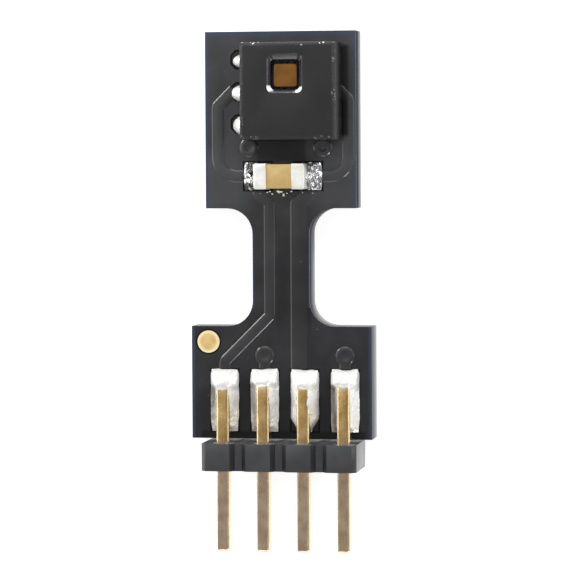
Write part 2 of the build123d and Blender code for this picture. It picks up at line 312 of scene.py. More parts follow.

# %% [markdown]
# The rim's share
#
# A gap in millimetres isn't a colour yet. A straight ramp would leave a visible line where the rim ends,
# so the ramp is a smooth step, flat at both ends. The rim is strongest at the edge and gone 0.14 mm
# inside it.

# %% Turn the gap into a share
# How far in the rim's painted reflection reaches.
RIM_START, RIM_END = 0.03, 0.14
RIM_SHARE = 0.75
rim_ramp = rim_group.nodes.new("ShaderNodeMapRange")
rim_ramp.interpolation_type = "SMOOTHSTEP"
for label, number in (
    ("From Min", RIM_START), ("From Max", RIM_END), ("To Min", RIM_SHARE), ("To Max", 0.0)
):
    rim_ramp.inputs[label].default_value = number
rim_group.links.new(gap, rim_ramp.inputs["Value"])
rim_group.links.new(rim_ramp.outputs[0], rim_out.inputs["Share"])
print("rim:", len(rim_group.nodes), "nodes")

# %% [markdown]
# Soft zones
#
# The tone of a coating changes from place to place: it pools in one spot and looks darker in another.
# Vertex colours could say where, but they need a dense mesh on a flat board. A rectangle with soft sides
# needs none. It is a product of four ramps, and a mirrored one appears on both sides of the middle line.


# %% A rectangle with soft sides
def zone(finish, x_low, x_high, y_low, y_high, soft_x, soft_y=None, mirrored=False):
    """A mask that is 1 inside a rectangle in millimetres. It rises inwards from the low sides, and fades
    outwards from the high ones, over the soft widths."""
    soft_y = soft_y or soft_x
    across = math_node(finish.tree, "ABSOLUTE", finish.x, 0.0) if mirrored else finish.x
    sides = [
        finish.ramp(across, x_low, x_low + soft_x),
        finish.ramp(across, x_high, x_high + soft_x, 1.0, 0.0),
        finish.ramp(finish.y, y_low, y_low + soft_y),
        finish.ramp(finish.y, y_high, y_high + soft_y, 1.0, 0.0),
    ]
    mask = sides[0]
    for side in sides[1:]:
        mask = finish.times(mask, side)
    return mask


# %% [markdown]
# Where light and shade are painted on the coating
#
# The coating is painted paler on the head than on the base, and paler still beside the capacitor, more so
# on the left: painted light, where the lamps fall more strongly. It gets painted shade between the
# capacitor and the chip, in a strip right of the chip and along the header, and a little on the neck. One
# even black would look like plastic. Lamps placed to shade each spot would spoil the other views, so the
# tones are mixed in the finish, and only on the front face.

# %% Tones of the coating
BASE_TONES = (0.0215, 0.0217, 0.0232), (0.0290, 0.0293, 0.0312)
LIT_HEAD_TONES = (0.0360, 0.0365, 0.0385), (0.0500, 0.0505, 0.0535)
BESIDE_CAPACITOR = (0.80, 2.6, 2.2, 4.0)
BETWEEN_PARTS = (-0.82, 0.72, 3.98, 4.80)
RIGHT_OF_CHIP = (1.80, 2.10, 4.80, 7.60)
ALONG_HEADER = (-2.60, 2.60, -4.80, -4.40)
ON_NECK = (-0.20, 0.90, -1.90, 1.30)


def head_and_base(finish, patches, lift):
    """Patchy tones that turn from those of the base to the paler ones of the head, which are painted light.
    The lift is added to each.
    """
    patchy = finish.ramp(patches, 0.35, 0.68)
    below, above = (
        finish.blend(patchy, *[tuple(part + lift for part in tone) for tone in pair])
        for pair in (BASE_TONES, LIT_HEAD_TONES)
    )
    return finish.blend(finish.ramp(finish.y, 1.6, 3.6), below, above)


# Painted light: paler beside the capacitor, more so on the left.
def painted_light_share(finish):
    left_to_right = finish.ramp(finish.x, -0.8, 0.8, 0.60, 0.42)
    return finish.times(zone(finish, *BESIDE_CAPACITOR, 0.6, mirrored=True), left_to_right)


# Painted shade between the parts, right of the chip, along the header and on the neck.
def painted_shade_share(finish):
    strips = zone(finish, *BETWEEN_PARTS, 0.14)
    for place in (RIGHT_OF_CHIP, ALONG_HEADER):
        strips = finish.larger(strips, zone(finish, *place, 0.10))
    strips = finish.times(strips, 0.87)
    neck = finish.times(zone(finish, *ON_NECK, 0.12, 1.2), 0.42)
    return finish.larger(strips, neck)


print("zones of the coating:", BESIDE_CAPACITOR, BETWEEN_PARTS, RIGHT_OF_CHIP, ALONG_HEADER, ON_NECK)

# %% [markdown]
# The black coating
#
# The board wears a thin black lacquer. It isn't quite black: it has a cool tone and a soft unevenness
# from flowing, dust lies on it, and over a copper track it is a little paler and glossier. A clear coat
# over a black board would shine twice. One satin layer with an uneven roughness comes nearer, and one
# function makes both variants, so that they match where they meet.


# %% Mix the coating
DARK = (0.0185, 0.0186, 0.0200)
BLUE = (0.040, 0.054, 0.096)
PAINTED_LIGHT_TONE = (0.072, 0.073, 0.080)
SHADED = (0.008, 0.008, 0.009)
DUST = (0.3, 0.3, 0.3)


def coating(name, lift, rough):
    made = Finish(name, DARK, rough, Specular_IOR_Level=0.34)
    patches = add_grain(made, 14.0, 1.2, 1.6, 0.0022)
    on_front = made.ramp(made.z, 0.4, 0.6)
    # The head's paler tones are painted light.
    tone = head_and_base(made, patches, lift)
    # Painted light beside the capacitor, then painted shade near the chip, the header and on the neck.
    tone = made.blend(made.times(painted_light_share(made), on_front), tone, PAINTED_LIGHT_TONE)
    tone = made.blend(made.times(painted_shade_share(made), on_front), tone, SHADED)
    # The rim's blue grey is a painted reflection.
    tone = made.blend(made.place(rim_group).outputs["Share"], tone, BLUE)
    made.paint(made.blend(add_specks(made, 3.5, 0.055, 0.35), tone, DUST))
    made.roughen(made.ramp(patches, 0.3, 0.7, rough - 0.05, rough + 0.06))
    made.describe()
    return made


coating_finish = coating("black_coating", 0.0, 0.21)
track_coating_finish = coating("coating_over_copper", 0.010, 0.15)

# %% [markdown]
# Glass cloth in the cut edge
#
# The board is layers of woven glass in pale epoxy, and the router leaves the ends of the threads showing.
# Each thread could be modelled, but they are finer than a hair. Two streaky noises multiplied do it: one
# is drawn out into plies along the board, the other gives the short bundles of fibres.

# %% Plies and fibres
laminate_finish = Finish("glass_epoxy_board", (0.5, 0.5, 0.48), 0.4, Specular_IOR_Level=0.0)
plies = streaks(laminate_finish, (2.0, 2.0, 22.0), 3.0, 0.6)
fibres = streaks(laminate_finish, (26.0, 26.0, 60.0), 2.0)
bundles = laminate_finish.times(plies, fibres)
resin = laminate_finish.blend(
    laminate_finish.ramp(bundles, 0.15, 0.38), (0.62, 0.62, 0.61), (0.76, 0.76, 0.75)
)
laminate_finish.bump(bundles, 0.012, 0.7)
laminate_finish.describe()

# %% [markdown]
# Painted shade on the cut edge
#
# Seen from the front, the cut edge is dark near the face and pale towards the back. The dark tone is
# painted shade, strongest near the face and fading towards the back. The height on the edge is divided by
# the height at which the painted shade is full, and a power lets the dark tone reach far back. That height
# is lowest on the head, higher on the neck, and past the face on the base, which stays paler. Two narrow
# strips, at the very back and the very front, are the coating itself.

# %% Shade the cut edge
board_top = board_high.z / MM
BACK_COAT, BACK_FADE = 0.050, 0.056
HEAD_SHADE_HEIGHT, NECK_SHADE_HEIGHT, BASE_SHADE_EXTRA = 0.68, 0.88, 0.37
EDGE_SHADE_TONE = (0.033, 0.036, 0.046)
on_back = laminate_finish.ramp(laminate_finish.z, BACK_COAT, BACK_FADE, 1.0, 0.0)
at_front = laminate_finish.ramp(laminate_finish.z, board_top - 0.012, board_top - 0.004)
on_base = laminate_finish.ramp(laminate_finish.y, -0.9, -0.5, BASE_SHADE_EXTRA * board_top, 0.0)
off_base = laminate_finish.ramp(laminate_finish.y, 2.2, 2.8, NECK_SHADE_HEIGHT * board_top, HEAD_SHADE_HEIGHT * board_top)
shade_full_height = math_node(laminate_finish.tree, "ADD", on_base, off_base)
height_share = math_node(laminate_finish.tree, "DIVIDE", laminate_finish.z, shade_full_height, clamp=True)
# Painted shade on the cut edge, fading from the face towards the back.
painted_edge_shade = math_node(laminate_finish.tree, "POWER", height_share, 0.6)
edge_tone = laminate_finish.blend(laminate_finish.times(painted_edge_shade, 0.97), resin, EDGE_SHADE_TONE)
laminate_finish.paint(laminate_finish.blend(laminate_finish.larger(on_back, at_front), edge_tone, DARK))
laminate_finish.roughen(laminate_finish.ramp(laminate_finish.z, BACK_COAT, BACK_FADE, 0.24, 0.4))
laminate_finish.describe()

# %% [markdown]
# Moulded epoxy
#
# The chip is moulded in epoxy filled with glass powder, matt and slightly grey on top. Its sides are
# painted darker as painted shade. The tone could come from two materials, but the change is soft. A ramp
# over the height mixes them in one.

# %% Epoxy of the chip
chip_low, chip_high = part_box("sensor_body")
chip_top = chip_high.z / MM
epoxy_finish = Finish("moulded_epoxy", (0.018, 0.018, 0.019), 0.56, Specular_IOR_Level=0.35)
patches = add_grain(epoxy_finish, 26.0, 1.0, 0.5, 0.004)
top_tone = epoxy_finish.blend(
    epoxy_finish.ramp(patches, 0.3, 0.7), (0.0115, 0.0117, 0.0125), (0.0155, 0.0157, 0.0165)
)
# Painted shade: the sides are darker than the top.
painted_side_shade = epoxy_finish.ramp(epoxy_finish.z, chip_top - 0.14, chip_top - 0.10, 1.0, 0.0)
epoxy_finish.paint(epoxy_finish.blend(painted_side_shade, top_tone, (0.005, 0.005, 0.0055)))
epoxy_finish.describe()

# %% [markdown]
# Sawn edges
#
# Many chips are moulded as one plate and sawn apart. The saw cuts through grains of filler, which shine
# white in the photo, most of all along the chip's upper edge and towards its right. The white specks are
# partly that filler and partly painted highlights, and two ramps place them along that edge. Specks as
# geometry would be hard to keep on the rounded edge. The speck mask over a rough bump follows any shape.

# %% Epoxy where it was sawn
sawn_finish = Finish("sawn_epoxy", (0.02, 0.02, 0.021), 0.45, Specular_IOR_Level=0.30)
add_grain(sawn_finish, 13.0, 5.0, 1.0, 0.03)
glint_upper_edge = sawn_finish.ramp(
    sawn_finish.y, chip_high.y / MM - 0.12, chip_high.y / MM - 0.05, 0.12, 1.0
)
glint_to_right = sawn_finish.ramp(sawn_finish.x, chip_low.x / MM, chip_high.x / MM, 0.55, 1.0)
# Filler specks, partly painted highlights along the upper edge and to the right.
filler_and_glints = add_specks(sawn_finish, 10.0, 0.36, sawn_finish.times(glint_upper_edge, glint_to_right))
sawn_finish.paint(sawn_finish.blend(filler_and_glints, (0.021, 0.021, 0.022), (1.0, 1.0, 1.0)))
sawn_finish.describe()

# %% [markdown]
# The window's polished walls
#
# The window is moulded against a polished tool, so its sloping walls mirror the room. Its lower lip and
# the two lower corners get painted highlights: they are painted pale where the rounded walls catch the
# lamps. Three soft zones with a patchy share paint them, and a plain dark finish lines the shaft below.

# %% Polished epoxy and the shaft
POLISHED = (0.020, 0.017, 0.024)
PAINTED_HIGHLIGHT_TONE = (0.90, 0.89, 0.90)
LEFT_CORNER = (-0.26, -0.05, 6.19, 6.38)
RIGHT_CORNER = (0.64, 0.86, 6.14, 6.34)
LOWER_LIP = (-0.05, 0.70, 6.14, 6.21)
window_finish = Finish("polished_epoxy", POLISHED, 0.20, Specular_IOR_Level=0.75)
patches = add_grain(window_finish, 8.0, 2.0, 0.5, 0.002)
# Painted highlights on the two lower corners and the lower lip.
painted_highlight = window_finish.larger(
    zone(window_finish, *LEFT_CORNER, 0.04), zone(window_finish, *RIGHT_CORNER, 0.04)
)
painted_highlight = window_finish.larger(painted_highlight, window_finish.times(zone(window_finish, *LOWER_LIP, 0.03), 0.24))
painted_highlight = window_finish.times(painted_highlight, window_finish.ramp(patches, 0.40, 0.56, 0.25, 0.9))
window_finish.paint(window_finish.blend(painted_highlight, POLISHED, PAINTED_HIGHLIGHT_TONE))
window_finish.describe()
shaft_finish = Finish("window_wall", (0.020, 0.015, 0.019), 0.35)
shaft_finish.describe()

# %% [markdown]
# Header plastic
#
# The header is a harder plastic with a satin shine, and dust clings to it. The grooves between its blocks
# are narrow and nearly black in the photo. Moving the lamps would darken them and everything else, so the
# faces in the grooves get painted shade: a darker, duller finish of their own.

# %% Plastic of the header
header_finish = Finish("header_plastic", (0.045, 0.046, 0.05), 0.2)
patches = add_grain(header_finish, 18.0, 1.6, 0.8, 0.004)
header_tone = header_finish.blend(
    header_finish.ramp(patches, 0.3, 0.7), (0.042, 0.043, 0.046), (0.058, 0.059, 0.063)
)
header_finish.paint(header_finish.blend(add_specks(header_finish, 4.0, 0.06, 0.3), header_tone, DUST))
header_finish.describe()
# Painted shade for the faces in the grooves.
groove_shade_finish = Finish("header_groove", (0.012, 0.0125, 0.014), 0.5, Specular_IOR_Level=0.25)
groove_shade_finish.describe()

# %% [markdown]
# Bright solder
#
# Solder is tin that froze while it flowed, so it is smooth in places and crinkled in others. Fully
# metallic, it would show only its surroundings and turn grey under a grey sky. A part share of metal
# keeps it bright from every side, and the same patches drive its tone and its gloss. The header's joints
# start from the same solder, so a function makes it.

# %% Mix the solder
WARM_TIN = (0.93, 0.91, 0.86)
COOL_TIN = (0.98, 0.98, 0.97)


def solder(name):
    """A bright solder. Returns the finish, its patches and its tone."""
    made = Finish(name, (0.95, 0.94, 0.92), 0.2, metal=0.35)
    patches = add_grain(made, 9.0, 3.0, 1.5, 0.022, 0.8)
    made.roughen(made.ramp(patches, 0.3, 0.7, 0.16, 0.34))
    return made, patches, made.blend(made.ramp(patches, 0.35, 0.65), WARM_TIN, COOL_TIN)


solder_finish, patches, bright = solder("bright_solder")
solder_finish.paint(bright)
solder_finish.describe()

# %% [markdown]
# Crinkled solder, tin and bare lands
#
# The feet of the capacitor's solder are crinkled, and duller on the left. The capacitor's caps are dipped
# in satin tin. The few copper lands that show between the coating and the solder look almost black. All
# three could share one metal, but they lie side by side and have to stay apart, so each has its own tone
# and depth of grain.

# %% Solder feet, tin and lands
foot_finish = Finish("crinkled_solder", (0.90, 0.90, 0.88), 0.2, metal=0.9)
patches = add_grain(foot_finish, 7.0, 4.0, 2.0, 0.05)
dull = foot_finish.blend(
    foot_finish.ramp(foot_finish.x, -0.4, 0.6), (0.09, 0.095, 0.085), (0.44, 0.44, 0.46)
)
foot_finish.paint(foot_finish.blend(foot_finish.ramp(patches, 0.49, 0.62), dull, COOL_TIN))
foot_finish.describe()

tin_finish = Finish("tin_plating", (0.92, 0.91, 0.88), 0.45, metal=0.3)
patches = add_grain(tin_finish, 12.0, 3.0, 1.0, 0.012)
tin_tone = tin_finish.blend(
    tin_finish.ramp(patches, 0.35, 0.65), (0.74, 0.72, 0.67), (0.88, 0.87, 0.84)
)
tin_finish.paint(tin_tone)
tin_finish.describe()

land_finish = Finish("bare_land", (0.020, 0.018, 0.017), 0.45, Specular_IOR_Level=0.3)
add_grain(land_finish, 12.0, 3.0, 1.0, 0.006)
land_finish.describe()

# %% [markdown]
# Gold on the pins
#
# The pins are drawn wire plated with gold, thick on the soldered side and thinner on the plug side, where
# it looks pinker. Two materials would meet in a hard line below the header. One finish with a ramp along
# the board keeps the change soft, and streaks along the pins roughen the gold as drawing does.

# %% Thick and thin gold
DEEP_GOLD, LIGHT_GOLD = (0.66, 0.405, 0.14), (0.96, 0.68, 0.30)
PINK_GOLD, PALE_GOLD = (0.72, 0.52, 0.35), (0.98, 0.76, 0.53)
PIN_ROUGH = 0.22
header_low, header_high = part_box("header_body")
split = (header_low.y + header_high.y) / 2 / MM
pin_finish = Finish("pin_gold", DEEP_GOLD, PIN_ROUGH, metal=1.0)
lines = streaks(pin_finish, (40.0, 1.2, 40.0), 3.0, 0.6)
wear = pin_finish.place(grain_group, Grain_per_mm=10.0, Patches_per_mm=2.2, Patch_share=0.5)
patches = wear.outputs["Patches"]
thick = pin_finish.blend(pin_finish.ramp(patches, 0.32, 0.68), DEEP_GOLD, LIGHT_GOLD)
thin = pin_finish.blend(pin_finish.ramp(patches, 0.3, 0.7), PINK_GOLD, PALE_GOLD)
on_plug = pin_finish.ramp(pin_finish.y, split - 0.3, split + 0.3, 1.0, 0.0)
gold_tone = pin_finish.blend(on_plug, thick, thin)
pin_finish.roughen(pin_finish.ramp(lines, 0.3, 0.7, PIN_ROUGH - 0.06, PIN_ROUGH + 0.10))
fine_height = pin_finish.times(wear.outputs["Height"], 0.5)
pin_finish.bump(math_node(pin_finish.tree, "ADD", lines, fine_height), 0.006)
print("the gold changes at", round(split, 2), "mm")

# %% [markdown]
# Painted highlights on edges and tips
#
# The long edges of a pin and its tip get painted highlights in a paler gold. An edge mask can be baked,
# or read from a bevel node, but a pin is straight. Its edges are simply the points far from its middle
# line, and its tip the last fifth of a millimetre.

# %% Paint highlights on the edges and the tips
EDGE_HIGHLIGHT_GOLD, TIP_HIGHLIGHT_GOLD = (1.0, 0.88, 0.62), (1.0, 0.93, 0.72)
EDGE_FROM, EDGE_TO, PIN_REACH = 0.13, 0.19, 0.3
pin_boxes = [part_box(f"header_pin_{i}") for i in range(1, 5)]
pin_middles = [(low.x + high.x) / 2 for low, high in pin_boxes]
# Painted highlights along each pin's long edges, then on its tip.
for middle in pin_middles:
    off_middle = math_node(pin_finish.tree, "SUBTRACT", pin_finish.x, middle / MM)
    off_middle = math_node(pin_finish.tree, "ABSOLUTE", off_middle, 0.0)
    on_pin = math_node(pin_finish.tree, "LESS_THAN", off_middle, PIN_REACH)
    painted_edge_highlight = pin_finish.times(pin_finish.ramp(off_middle, EDGE_FROM, EDGE_TO, 0.0, 0.75), on_pin)
    gold_tone = pin_finish.blend(painted_edge_highlight, gold_tone, EDGE_HIGHLIGHT_GOLD)
tip = pin_boxes[0][1].y / MM
painted_tip_highlight = pin_finish.ramp(pin_finish.y, tip - 0.20, tip - 0.10, 0.0, 0.8)
pin_finish.paint(pin_finish.blend(painted_tip_highlight, gold_tone, TIP_HIGHLIGHT_GOLD))
pin_finish.describe()

# %% [markdown]
# The marker of pin 1
#
# A round gold pad marks pin 1. Near its edge, where the plating turns down, a brighter ring is painted
# as a highlight. A ring could be modelled, but it has no height to speak of. The distance from the pad's
# middle gives it as a tone.

# %% Gold of the marker
RING_FROM, RING_TO = 0.22, 0.31
marker_low, marker_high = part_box("pin_one_marker")
marker_finish = Finish("pad_gold", (1.0, 0.74, 0.30), 0.4, metal=0.2)
from_centre = marker_finish.tree.nodes.new("ShaderNodeVectorMath")
from_centre.operation = "DISTANCE"
from_centre.inputs[1].default_value = (marker_low + marker_high) / 2 / MM
marker_finish.tree.links.new(marker_finish.mm, from_centre.inputs[0])
patches = add_grain(marker_finish, 12.0, 4.0, 0.5, 0.006)
face_gold = marker_finish.blend(
    marker_finish.ramp(patches, 0.3, 0.7), (0.62, 0.405, 0.13), (0.74, 0.54, 0.23)
)
# The ring is a painted highlight.
painted_ring_highlight = marker_finish.ramp(from_centre.outputs["Value"], RING_FROM, RING_TO)
marker_finish.paint(marker_finish.blend(painted_ring_highlight, face_gold, (0.92, 0.76, 0.45)))
marker_finish.describe()

# %% [markdown]
# Ceramic
#
# The capacitor is unglazed tan ceramic with dark pores. Displacement could dig the pores, at the cost of
# a dense mesh on a block of 1.6 mm. The speck mask darkens them instead, over a tone that varies a
# little.

# %% Tan ceramic
ceramic_finish = Finish("tan_ceramic", (0.59, 0.41, 0.165), 0.42)
patches = add_grain(ceramic_finish, 18.0, 2.2, 0.8, 0.004)
ceramic_tone = ceramic_finish.blend(
    ceramic_finish.ramp(patches, 0.3, 0.7), (0.46, 0.32, 0.118), (0.58, 0.412, 0.172)
)
pores = add_specks(ceramic_finish, 9.0, 0.09, 0.5)
ceramic_finish.paint(ceramic_finish.blend(pores, ceramic_tone, (0.25, 0.16, 0.05)))
ceramic_finish.describe()

# %% [markdown]
# The sensing film and the die
#
# At the bottom of the window lies a thin orange-brown polymer that takes up moisture, on a dark polished
# die. A layered glassy shader could make the film, but it is too thin to look into. A warm opaque colour
# with little gloss matches it, and the die is near black and smoother.

# %% Film and silicon
film_finish = Finish("sensing_polymer", (0.20, 0.085, 0.018), 0.3, Specular_IOR_Level=0.3)
patches = add_grain(film_finish, 14.0, 3.0, 0.8, 0.002)
film_finish.paint(
    film_finish.blend(film_finish.ramp(patches, 0.3, 0.7), (0.155, 0.064, 0.007), (0.215, 0.092, 0.012))
)
film_finish.describe()
die_finish = Finish("silicon_die", (0.012, 0.010, 0.014), 0.22)
add_grain(die_finish, 10.0, 2.0, 0.5, 0.001)
die_finish.describe()

# %% [markdown]
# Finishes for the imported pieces
#
# The copper, the leads, the gold marker, the die and its film are flat or hidden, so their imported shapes
# stay and only need a finish. The others are replaced further down, and get one too, because a packed
# piece is never left plain. The first entry that a name starts with gives its finish, so a longer start
# stands above a shorter one.

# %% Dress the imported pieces
DRESS = {
    "circuit_board": laminate_finish,
    "copper_": land_finish,
    "sensor_spare_pad": land_finish,
    "sensor_centre": tin_finish,
    "pin_one_marker": marker_finish,
    "sensor_die": die_finish,
    "sensing_film": film_finish,
    "sensor_paddle": tin_finish,
    "sensor_lead": land_finish,
    "sensor_solder": solder_finish,
    "sensor_body": epoxy_finish,
    "solder_mask": coating_finish,
    "capacitor_body": ceramic_finish,
    "capacitor_": tin_finish,
    "header_body": header_finish,
    "header_pin": pin_finish,
    "header_solder": solder_finish,
}
for name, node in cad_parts.items():
    finish = next(made for start, made in DRESS.items() if name.startswith(start))
    node.data.materials.clear()
    node.data.materials.append(finish.material)
print(len(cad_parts), "packed pieces dressed")

# %% [markdown]
# Handing a piece over
#
# Each piece is shaped in a bmesh. Then its faces are turned outwards, it gets its finish, and the imported
# pieces that it stands for are hidden. Smooth shading could be left to a modifier, but it is simpler to set
# it here: small rounds are smooth, edges sharper than an angle stay crisp, and a flat sheet stays flat.


# %% Hand a piece over
def hand_over(name, bm, finishes, replaces=(), crisp=35, flat=False):
    bmesh.ops.recalc_face_normals(bm, faces=bm.faces)
    mesh = bpy.data.meshes.new(name)
    bm.to_mesh(mesh)
    bm.free()
    for finish in finishes:
        mesh.materials.append(finish.material)
    if flat:
        mesh.shade_flat()
    else:
        mesh.shade_smooth()
        mesh.set_sharp_from_angle(angle=math.radians(crisp))
    piece = bpy.data.objects.new(name, mesh)
    bpy.context.scene.collection.objects.link(piece)
    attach(piece, "root")
    if replaces:
        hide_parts(*replaces)
    print(name, len(mesh.polygons), "faces")


# %% [markdown]
# The flat part of the coating
#
# The coating is a film with an opening over each pad, and it rises over the tracks. Drawing its outline
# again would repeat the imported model's work, and a boolean would leave slivers. So the sheet is a copy of
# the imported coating, cut off just above its flat part. The rises come next, as ridges with soft sides.

# %% Cut off the flat film
MERGE_WITHIN = 0.0002 * MM
NEAR_CUT = 0.002 * MM
FILM_THICKNESS = 0.0305 * MM
FILM_LIFT = 0.002 * MM
CUT = board_high.z + FILM_THICKNESS
pad_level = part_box("pin_one_marker")[1].z
film_level = pad_level + FILM_LIFT
film = bmesh.new()
film.from_mesh(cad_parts["solder_mask_front"].data)
bmesh.ops.remove_doubles(film, verts=film.verts, dist=MERGE_WITHIN)
everything = film.verts[:] + film.edges[:] + film.faces[:]
bmesh.ops.bisect_plane(film, geom=everything, plane_co=(0, 0, CUT), plane_no=(0, 0, 1), clear_outer=True)
bmesh.ops.holes_fill(film, edges=[e for e in film.edges if e.is_boundary], sides=0)
bmesh.ops.dissolve_limit(film, angle_limit=math.radians(1), verts=film.verts, edges=film.edges)
for vertex in film.verts:
    if vertex.co.z > CUT - NEAR_CUT:
        vertex.co.z = film_level
print("film level in mm:", round(film_level / MM, 4))
hand_over("front_coating", film, [coating_finish], ["solder_mask_front"], flat=True)

# %% [markdown]
# The board
#
# The board's routed outline with its round notches is already exact. The tracks on its back need room to
# stand up from the back coating without making the board thicker, and a boolean could carve that. It is
# simpler to raise the whole back face a little and let the tracks stand on it. The back face gets the
# coating's finish, and the cut edges get the laminate's.

# %% Sink the board's back
BACK_LEVEL = 0.022 * MM
board = bmesh.new()
board.from_mesh(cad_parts["circuit_board"].data)
bmesh.ops.remove_doubles(board, verts=board.verts, dist=0.0001 * MM)
bmesh.ops.dissolve_limit(board, angle_limit=math.radians(1), verts=board.verts, edges=board.edges)
for vertex in board.verts:
    if vertex.co.z < 0.001 * MM:
        vertex.co.z = BACK_LEVEL
board.normal_update()
for face in board.faces:
    face.material_index = 1 if face.normal.z < -0.5 else 0
board_finishes = [laminate_finish, coating_finish]
hand_over("board_core", board, board_finishes, ["circuit_board"], crisp=25)

# %% [markdown]
# A path with round turns
#
# A track is drawn as straight runs, and the coating rounds its corners. A curve object could do it, but
# its handles pull the straight runs out of line. So each corner becomes an arc that touches both runs:
# its centre lies on the line that halves the corner, and a turning arm marks its points.

# %% Round the turns of a path
TURN = 0.14 * MM


def round_turns(points, last_radius=TURN, steps=6):
    """The points of a line with an arc at each turn. The last turn may be wider."""
    points = [Vector((*point, 0)) for point in points]
    path = [points[0]]
    for i, corner in enumerate(points[1:-1], 1):
        radius = last_radius if i == len(points) - 2 else TURN
        before = (points[i - 1] - corner).normalized()
        after = (points[i + 1] - corner).normalized()
        half = before.angle(after) / 2
        centre = corner + (before + after).normalized() * (radius / math.sin(half))
        start = corner + before * (radius / math.tan(half))
        turn = math.pi - 2 * half
        side = 1 if before.cross(after).z < 0 else -1
        for k in range(steps + 1):
            arm = Matrix.Rotation(side * turn * k / steps, 3, "Z") @ (start - centre)
            path.append(centre + arm)
    return path + [points[-1]]


print("one turn gives", len(round_turns([(-MM, 0), (0, 0), (0, MM)])), "points")

# %% [markdown]
# A ridge swept along a path
#
# Lacquer flows over the copper, so a track shows as a low ridge with no crisp edge. A curve with a bevel
# object would twist in the turns, and a displaced sheet would need a dense mesh. Here a bell-shaped
# section is extruded from point to point and turned with the path, which keeps the same width in the
# turns. A negative height makes a ridge that points down.

# %% Sweep a ridge
BELL = [(-0.97, 0.0), (-0.92, 0.14), (-0.84, 0.50), (-0.73, 0.80), (-0.55, 0.95), (0.0, 1.0),
        (0.55, 0.95), (0.73, 0.80), (0.84, 0.50), (0.92, 0.14), (0.97, 0.0)]


def ridge(name, path, width, height, level=film_level):
    """Sweeps a bell-shaped section along a path that lies on a coating."""
    bm = bmesh.new()
    stations = []
    for i, point in enumerate(path):
        ahead = path[min(i + 1, len(path) - 1)] - path[max(i - 1, 0)]
        turned = Matrix.Rotation(math.atan2(ahead.y, ahead.x), 4, "Z")
        stations.append(Matrix.Translation((point.x, point.y, level)) @ turned)
    section = [Vector((0, side * width / 2, rise * height)) for side, rise in BELL]
    row = [bm.verts.new(stations[0] @ point) for point in section]
    edges = [bm.edges.new(pair) for pair in zip(row, row[1:] + row[:1])]
    for before, after in zip(stations, stations[1:]):
        made = bmesh.ops.extrude_edge_only(bm, edges=edges)["geom"]
        row = [g for g in made if isinstance(g, bmesh.types.BMVert)]
        edges = [g for g in made if isinstance(g, bmesh.types.BMEdge)]
        bmesh.ops.transform(bm, matrix=after @ before.inverted(), verts=row)
    bmesh.ops.holes_fill(bm, edges=[e for e in bm.edges if e.is_boundary], sides=0)
    hand_over(name, bm, [track_coating_finish], crisp=60)


print("the section has", len(BELL), "points")

# %% [markdown]
# The power tracks on the head
#
# Ground and supply leave the chip's middle leads, run down both sides of the head and turn in to the
# capacitor. Tracing them from the photo would copy its lens. Their ends follow the boxes of the pads and
# the leads, and only the distance of the two rails from the capacitor is a size of its own. The last turn
# is wide, as it is on the real board.

# %% Ridges on the head
OVER = 0.10 * MM
POWER = 0.30 * MM
LAND_GAP = 0.05 * MM
PAST_SOLDER = 0.06 * MM
RAIL_OUT = 2.06 * MM
WIDE_TURN = 0.60 * MM
cap_low, cap_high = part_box("capacitor_body")
cap_middle = (cap_low + cap_high) / 2
ridge_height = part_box("solder_mask_front")[1].z - film_level + 0.012 * MM
land_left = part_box("sensor_spare_pad_left")
land_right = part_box("sensor_spare_pad_right")
lead_low, lead_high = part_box("sensor_lead_2")
lead_y = (lead_low.y + lead_high.y) / 2
cap_left_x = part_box("capacitor_left_solder")[0].x - PAST_SOLDER
cap_right_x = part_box("capacitor_right_solder")[1].x + PAST_SOLDER

for side, land, cap_end, label in (
    (-1, land_left[0].x, cap_left_x, "ground"), (1, land_right[1].x, cap_right_x, "supply")
):
    rail = cap_middle.x + side * RAIL_OUT
    path = round_turns(
        [(land - side * LAND_GAP, lead_y + LAND_GAP), (rail, lead_y - abs(rail - land)),
         (rail, cap_middle.y), (cap_end + side * LAND_GAP, cap_middle.y)],
        last_radius=WIDE_TURN, steps=12,
    )
    ridge(f"ridge_{label}_head", path, POWER + OVER, ridge_height)

# %% [markdown]
# The power tracks on the neck
#
# Below the capacitor the ground track and the wider supply track bend in to the neck and run down to the
# header's pads, and the ground track then slants across to pin 1. Each corner could be typed as a pair of
# numbers. The slanted run is at 45 degrees, as on most boards, so it takes as much length as it has
# width, and its start is worked out from the pin's place instead.

# %% Ridges on the neck
SIGNAL, WIDE = 0.26 * MM, 0.43 * MM
NECK_LEFT, NECK_RIGHT = -0.365 * MM, 0.552 * MM
BEND, PAD_BEND = 0.42 * MM, 0.21 * MM
CAP_LAND_X = 0.795 * MM
CAP_LAND_HALF = 0.42 * MM
STRAIGHT = 0.12 * MM
turn_y = cap_middle.y - CAP_LAND_HALF
pad_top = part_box("header_solder_1")[1].y + PAST_SOLDER + LAND_GAP
left_x, right_x = cap_middle.x - CAP_LAND_X, cap_middle.x + CAP_LAND_X
slant = NECK_LEFT - pin_middles[0]
ground_path = round_turns([
    (left_x, turn_y - LAND_GAP), (left_x, turn_y - STRAIGHT),
    (NECK_LEFT, turn_y - BEND), (NECK_LEFT, pad_top + PAD_BEND + slant),
    (pin_middles[0], pad_top + PAD_BEND), (pin_middles[0], pad_top),
])
supply_path = round_turns([
    (right_x, turn_y - LAND_GAP), (right_x, turn_y - STRAIGHT),
    (NECK_RIGHT, turn_y - BEND), (NECK_RIGHT, pad_top),
])
ridge("ridge_ground_neck", ground_path, SIGNAL + OVER, ridge_height)
ridge("ridge_supply_neck", supply_path, WIDE + OVER, ridge_height)

